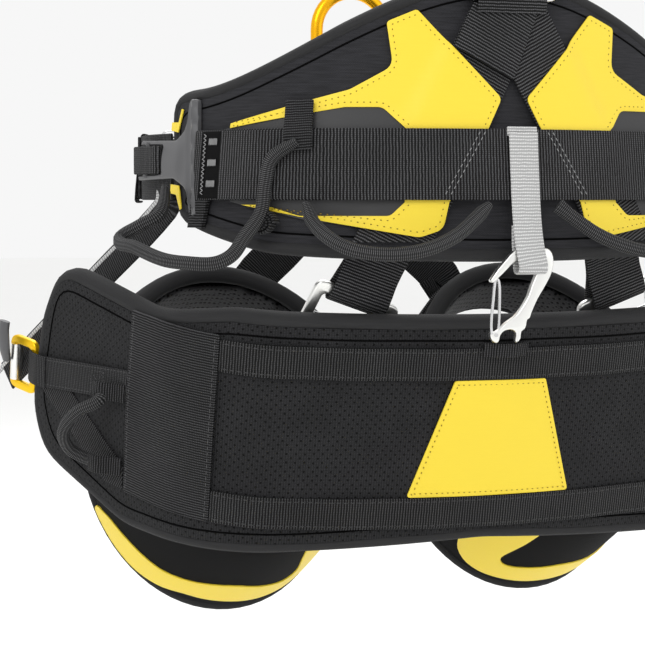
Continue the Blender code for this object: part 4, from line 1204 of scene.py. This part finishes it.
for side, word in sides.items():
    place = onLeg(side)
    body = f"leg_loop_{word}"
    pad = stuffed(ribbon(f"legPad_{word}", place, 0.004, -0.0105, -0.0050, spacerMesh), 0.005, 0.004)
    settle(pad, body, "black_foam_fabric", f"leg_pad_{word}")
    # the panel's cloth is darkened with painted shade
    settle(ribbon(f"legPanel_{word}", place, 0.003, -0.0045, -0.0012, legClothShaded, leg["crown"]), body,
           "black_foam_fabric")
    for part, which in (("front", 1), ("rear", 0)):
        line = [place(along, legEdges(along)[which] + (-0.003 if which else 0.003),
                      -0.0060) for along in runs[:-1]]
        outs = [place(along, 0, 0.01) - place(along, 0, 0.0) for along in runs[:-1]]
        edge = sweep(f"legBinding_{part}_{word}", line, roundSection(0.0068, 14, 0.0042), bindingTape,
                     across=outs, closed=True)
        settle(edge, body, "black_webbing")
    corners = [Vector((radians(angle) * legForm["girth"], across / 1000)) for angle, across in trimCorners]
    trim = sewnLayer(f"legTrim_{word}", softened(evened(corners, 0.006), 1), place,
                     lambda along, across: legCrown(along, across) - 0.0016, 0.0014, yellowCloth, step=0.006)
    settle(trim, body, "yellow_fabric")
    girth = legForm["girth"]
    start, end = -leg["webReach"] * girth, leg["webReach"] * girth
    web = sewnLayer(f"legStrap_{word}", box(start, end, -leg["webHalf"], leg["webHalf"], 0.003), place, 0.0012,
                    0.0016, wovenWebbing, step=0.007)
    settle(web, body, "black_webbing", f"leg_strap_{word}")
    ends = []
    for along in (start + 0.008, end - 0.008):
        ends += barTack(place, (along, 0.010), 0.006, 0.012, 0.0029, count=8)
        ends += barTack(place, (along, -0.010), 0.006, 0.012, 0.0029, count=8)
    threads(f"legTacks_{word}", ends, 0.0004, greyThread, body, "black_webbing")
    # the strap's free tail passes the buckle's middle bar and lies back on itself
    buckleAt = leg["buckle"] * girth
    tail = [(buckleAt + 0.009, 0.0036), (buckleAt + 0.003, 0.0078), (buckleAt - 0.006, 0.0062),
            (buckleAt - 0.018, 0.0040), (buckleAt - 0.035, 0.0038), (buckleAt - 0.055, 0.0040)]
    piece = sweep(f"legTail_{word}", smoothRoute([place(along, 0, out) for along, out in tail], 4),
                  strapSection(0.0430, 0.0015), wovenWebbing, across=legForm["axis"])
    settle(piece, body, "black_webbing")
    at = place(buckleAt, 0, 0.0062)
    heading = place(buckleAt + 0.011, 0, 0.0062) - place(buckleAt - 0.011, 0, 0.0062)
    turn = facing(at, heading, legForm["axis"])
    piece = buckleFrame(f"legBuckle_{word}", legBuckle, turn, polishedSteel)
    settle(piece, f"leg_buckle_{word}", "steel", f"leg_buckle_{word}")
    settle(crossBar(f"legBuckleBar_{word}", legBuckle, turn, polishedSteel), f"leg_buckle_{word}", "steel")
    # front bridge, from the block under the ring down to the loop
    top = Vector((side * bridge["top"][0], *bridge["top"][1:]))
    bottom = place(bridge["foot"] * girth, 0, 0.0060)
    route = [top, (top + bottom) / 2 + Vector((0, 0.003, 0)), bottom,
             place(bridge["sewn"] * girth, 0.006, 0.0040)]
    piece = sweep(f"legBridge_{word}", smoothRoute(route, 6), strapSection(bridge["width"], 0.0018), narrowWebbing,
                  across=(1, 0, 0))
    # it hangs from the block and is sewn to the loop
    tuple(bottom)
    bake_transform(piece)
    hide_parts(f"leg_bridge_{word}")

    # rear riser: webbing from under the belt, a two-bar adjuster, and webbing down to the pad
    start = Vector((side * riser["top"][0], *riser["top"][1:]))
    foot = Vector((side * riser["foot"][0], *riser["foot"][1:]))
    run = (foot - start).normalized()
    across = Vector((0, 1, 0)).cross(run).normalized()
    outward = run.cross(across) * (1 if run.cross(across).y < 0 else -1)
    onRiser = riserPlace(start, run, outward)
    # the fold stands clear of the bar all round, so that the buckle can swing in it
    upper = [(-0.020, 0.0010), (0.000, 0.0014), (0.0110, 0.0048), (0.0195, 0.0060), (0.0250, 0.0),
             (0.0190, -0.0060), (0.0100, -0.0046), (-0.0040, -0.0014), (-0.0180, -0.0012)]
    piece = sweep(f"riserStrap_{word}", smoothRoute([onRiser(*spot) for spot in upper], 4),
                  strapSection(riser["width"], 0.0016), wovenWebbing, across=across)
    settle(piece, "waist", "black_webbing", f"riser_strap_{word}")
    turn = facing(start + run * riserBuckle["along"], across, -run)
    piece = buckleFrame(f"riserBuckle_{word}", riserBuckle, turn, tumbledAluminium)
    settle(piece, f"riser_buckle_{word}", "steel", f"riser_buckle_{word}")
    bar = [start + run * riserBuckle["barAlong"] + across * shift for shift in (-0.0255, 0.0, 0.0255)]
    settle(sweep(f"riserBar_{word}", bar, roundSection(0.0032, 14, 0.0022), polishedSteel, across=run),
           f"riser_buckle_{word}", "steel")
    length = (foot - start).length
    lower = [(0.0500, -0.0040), (0.0435, 0.0), (0.0480, 0.0036), (0.0560, 0.0042), (0.0700, 0.0016),
             (0.1000, 0.0010), (length - 0.030, 0.0), (length - 0.004, 0.0)]
    piece = sweep(f"riserLower_{word}", smoothRoute([onRiser(*spot) for spot in lower], 4),
                  strapSection(riser["width"], 0.0016), wovenWebbing, across=across)
    tuple(onRiser(0.056, 0.0))
    tuple(onRiser(length - 0.03, 0.0))
    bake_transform(piece)
    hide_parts(f"riser_lower_{word}")
print("leg loops padded")

# the suspension seat: a mesh cover and webbing bands over a board and a cushion
seat = {"trim": 0.0031, "bandEnd": 0.1854, "endBand": (0.186, 0.259, -0.066, 0.060)}
seatBands = {"seat_band_top": ("Top", 0.036, 0.057), "seat_band_bottom": ("Low", -0.066, -0.045)}
seatBuckle = {"at": (0.381, -0.011, -0.004), "frame": (0.029, 0.039), "corner": 0.008, "window": (0.017, 0.027),
              "windowCorner": 0.003, "thick": 0.0048, "edge": 0.0014, "barAt": 0.0095, "barHalf": 0.0130,
              "bar": (0.0048, 20, 0.0040)}
hanger = {"top": (0.186, 0.012, -0.027), "foot": (0.380, 0.004, -0.016), "width": 0.0250, "runOn": 0.038}


def coverWave(along, up):
    return 0.0005 * sin(along * 70 + up * 40) * (1 - ease(abs(along), 0.20, 0.26))


def trimBase(along, up):
    return seat["trim"] - 0.0003 + 0.0004 * sin(along * 110)


pad = stuffed(slab("seatPad", seatOutline(0.010), onSeat, -0.0150, -0.0095, spacerMesh), 0.0055, 0.0045)
settle(pad, "seat", "black_foam_fabric", "seat_cushion")
cover = sewnLayer("seatCover", seatOutline(0.0080), onSeat, -0.0002, 0.0022, seatMesh, shoulder=0.007,
                  step=0.008, relief=coverWave, lowEdge=0.05)
settle(cover, "seat", "black_foam_fabric", "seat_cover")
binding = boundEdge("seatBinding", onSeat, seatOutline(0.0055), -0.0066, 0.0055, 0.0082, bindingTape)
settle(binding, "seat", "black_webbing", "seat_binding")
pipingLine = softened(evened(seatOutline(0.0150), 0.006), 2)
# the cord's dark colour is painted shade along the seam
settle(sweep("seatSeam", [onSeat(p.x, p.y, 0.0018 + coverWave(p.x, p.y)) for p in pipingLine],
             roundSection(0.0007, 8), seamShadeCord, closed=True), "seat", "black_foam_fabric")
rows = []
for name, (part, low, high) in seatBands.items():
    band = sewnLayer(f"seatBand{part}", box(-seat["bandEnd"], seat["bandEnd"], low, high), onSeat, trimBase,
                     0.0016, seatWebbing, step=0.006)
    settle(band, "seat", "black_webbing", name)
    for up in (low + 0.0022, high - 0.0022):
        line = flat(((-seat["bandEnd"] + 0.003, up), (seat["bandEnd"] - 0.003, up)))
        rows += seam(onSeat, line, lambda x, y: trimBase(x, y) + 0.0016, 0.0030, 0.0016, closed=False)
threads("seatBandStitch", rows, 0.0003, darkThread, "seat", "black_webbing")
patchLine = rounded(((-0.058, -0.0444, 0.002), (0.058, -0.0444, 0.002), (0.032, 0.0354, 0.002),
                     (-0.032, 0.0354, 0.002)))
patch = sewnLayer("seatPatch", patchLine, onSeat, 0.0026, 0.0011, yellowCloth, step=0.008, shoulder=0.0009,
                  relief=lambda along, up: 0.0008 * cos(along * 40) * cos(up * 30))
settle(patch, "seat", "yellow_fabric", "seat_patch")
holes = seam(onSeat, insetOutline(patchLine, 0.0028), 0.0040, 0.0012, 0.0026)
# the stitches' dark ochre carries painted shade
threads("seatPatchStitch", holes, 0.0003, ochreThreadShaded, "seat", "yellow_fabric")
print("seat covered")

for side, word in sides.items():
    band = sewnLayer(f"seatEndBand_{word}", mirrored(box(*seat["endBand"]), side), onSeat,
                     lambda along, up: seat["trim"] + 0.0012 * (1 - ease(abs(up), 0.0, 0.06)), 0.0016,
                     narrowWebbing, pi / 2, step=0.007)
    settle(band, "seat", "black_webbing", f"seat_end_band_{word}")
    rows = []
    for along in (0.1885, 0.2565):
        line = mirrored(flat(((along, -0.063), (along, 0.057))), side)
        rows += seam(onSeat, line, lambda x, y: 0.0047 + 0.0012 * (1 - ease(abs(y), 0.0, 0.06)), 0.0026, 0.0016,
                     closed=False)
    threads(f"seatEndStitch_{word}", rows, 0.0003, dullThread, "seat", "black_webbing")
    wing = mirrored(flat(((0.260, -0.003), (0.351, -0.018), (0.351, 0.004), (0.260, 0.018))), side)
    grain = atan2(-0.015, 0.091) * side
    strap = sewnLayer(f"wingStrap_{word}", wing, onSeat, 0.0032, 0.0015, narrowWebbing, grain)
    settle(strap, "seat", "black_webbing", f"wing_strap_{word}")
    brace = mirrored(flat(((0.262, -0.066), (0.280, -0.066), (0.352, -0.020), (0.352, -0.004), (0.338, -0.002),
                           (0.262, -0.050))), side)
    strap = sewnLayer(f"wingBrace_{word}", brace, onSeat, 0.0022, 0.0008, narrowWebbing,
                      atan2(0.046, 0.080) * side)
    settle(strap, "seat", "black_webbing")
    rows = []
    for corners in (((0.284, -0.0035), (0.297, -0.0055), (0.297, 0.0085), (0.284, 0.0105)),
                    ((0.284, -0.0035), (0.297, 0.0085)), ((0.284, 0.0105), (0.297, -0.0055))):
        rows += seam(onSeat, mirrored(flat(corners), side), 0.0049, 0.0016, 0.0009, closed=len(corners) > 2)
    for shift in (0.0020, 0.0195):
        line = mirrored(flat(((0.262, -0.003 + shift), (0.349, -0.0175 + shift))), side)
        rows += seam(onSeat, line, 0.0048, 0.0022, 0.0012, closed=False)
    threads(f"wingStitch_{word}", rows, 0.00028, dullThread, "seat", "black_webbing")
    route = ((0.278, 0.000, 0.0105), (0.275, -0.005, 0.016), (0.284, -0.013, 0.025), (0.295, -0.029, 0.028),
             (0.297, -0.044, 0.021), (0.288, -0.050, 0.013), (0.276, -0.050, 0.0105))
    line = smoothRoute([onSeat(side * along, up, out) for along, up, out in route], 7)
    handle = sweep(f"seatHandle_{word}", line, ribbedSection(cord["handle"]), sleeveWeave, widthAt=flatEnds)
    settle(handle, f"seat_handle_{word}", "black_cord", f"seat_handle_{word}")
    # sewn webbing over each end of the handle
    for part, up in (("top", 0.0015), ("low", -0.0500)):
        route = [onSeat(side * along, up, out) for along, out in
                 ((0.2620, 0.0050), (0.2680, 0.0085), (0.2760, 0.0150), (0.2830, 0.0152))]
        tab = sweep(f"handleTab_{part}_{word}", smoothRoute(route, 4), strapSection(0.0125, 0.0016),
                    narrowWebbing, across=onSeat(0, 1) - onSeat(0, 0))
        tuple(route[0])
        tuple(route[2])
        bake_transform(tab)
    # yellow frame with a grey roller on its outer bar
    upward = onSeat(0, 1) - onSeat(0, 0)
    spot = seatBuckle["at"]
    heading = onSeat(side * (spot[0] + 0.001), *spot[1:]) - onSeat(side * (spot[0] - 0.001), *spot[1:])
    turn = facing(onSeat(side * spot[0], *spot[1:]), heading, upward)
    piece = buckleFrame(f"seatBuckle_{word}", seatBuckle, turn, lemonAnodised)
    settle(piece, f"seat_buckle_{word}", "yellow_anodised", f"seat_buckle_{word}")
    roller = crossBar(f"seatRoller_{word}", seatBuckle, turn, tumbledAluminium)
    settle(roller, f"seat_buckle_{word}", "yellow_anodised")
    spots = ((0.346, -0.0065, 0.0050), (0.356, -0.0070, 0.0052), (0.364, -0.0085, 0.0024),
             (0.3710, -0.009, -0.0010),
             (0.3742, -0.009, -0.0040), (0.3710, -0.009, -0.0072), (0.364, -0.0085, -0.0068))
    fold = sweep(f"buckleFold_{word}", smoothRoute([onSeat(side * a, u, o) for a, u, o in spots], 4),
                 strapSection(0.0225, 0.0018), narrowWebbing, across=upward)
    settle(fold, "seat", "black_webbing")
    # hanger: webbing from the belt to the buckle, with its pull tab
    top = Vector((side * hanger["top"][0], *hanger["top"][1:]))
    bottom = onSeat(side * hanger["foot"][0], *hanger["foot"][1:])
    wide = onSeat(side * 0.340, 0) - onSeat(side * 0.330, 0)
    route = [top + Vector((side * -0.003, 0.002, 0.012)), top, top.lerp(bottom, 0.5), bottom,
             bottom + (bottom - top).normalized() * hanger["runOn"]]
    strap = sweep(f"hangerStrap_{word}", smoothRoute(route, 6), strapSection(hanger["width"], 0.0018), narrowWebbing,
                  across=wide)
    settle(strap, "hangers", "black_webbing", f"hanger_strap_{word}")
    edge = [point + wide.normalized() * 0.0112 for point in smoothRoute(route, 6)]
    lining = sweep(f"hangerEdge_{word}", edge, strapSection(0.0042, 0.0024), greyWebbing, across=wide)
    settle(lining, "hangers", "grey_webbing")
    grip = [onSeat(side * 0.3925, up, out) for up, out in ((-0.010, 0.0030), (0.000, 0.0058), (0.010, 0.0068),
                                                         (0.019, 0.0060))]
    tab = sweep(f"pullTab_{word}", smoothRoute(grip, 5), roundSection(0.0048, 14, 0.0026), mouldedNylon,
                across=wide, widthAt=lambda share: (0.75 + 0.5 * sin(pi * min(share, 0.8)), 1.0))
    settle(tab, f"seat_buckle_{word}", "dark_moulding")
print("seat buckled on")

for node, finish in (("waist_stiffener", boardSheet), ("seat_board", boardSheet)):
    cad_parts[node].data.materials.clear()
    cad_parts[node].data.materials.append(finish)

# pale floor, white surroundings and three soft lights
studio = {"floor": -0.46, "floorColour": "#fcfcfb", "world": 0.93}
ground = bmesh.new()
bmesh.ops.create_circle(ground, cap_ends=True, segments=64, radius=14.0)
ground.transform(Matrix.Translation((0, 0, studio["floor"])))
floorFinish, tree, surface = newFinish("paperFloorMatt",
                                       {"Roughness": 0.9, "IOR": 1.45, "Specular IOR Level": 0.2})
tone = blendColour(tree, mottle(tree, 0.4), toLinear("#fafaf9"), toLinear(studio["floorColour"]))
tree.links.new(tone, surface.inputs["Base Color"])
toPiece("floor", ground, floorFinish)
world = bpy.data.worlds.new("studio")
world.use_nodes = True
world.node_tree.nodes["Background"].inputs["Color"].default_value = (1, 1, 1, 1)
world.node_tree.nodes["Background"].inputs["Strength"].default_value = studio["world"]
bpy.context.scene.world = world
lamps = {"key": ((-1.3, -1.5, 1.3), 1.2, 14), "fill": ((1.6, -1.2, 0.5), 1.6, 4),
         "rim": ((0.4, 1.2, 1.5), 1.4, 16)}
for name, (place, size, power) in lamps.items():
    lamp = bpy.data.lights.new(name, "AREA")
    lamp.shape = "DISK"
    lamp.size = size
    lamp.energy = power
    holder = bpy.data.objects.new(name, lamp)
    holder.location = place
    holder.rotation_euler = (Vector((0, 0, -0.1)) - Vector(place)).to_track_quat("-Z", "Y").to_euler()
    bpy.context.scene.collection.objects.link(holder)
bpy.context.scene.view_settings.view_transform = "Standard"
print("studio lit")

bpy.context.view_layer.update()
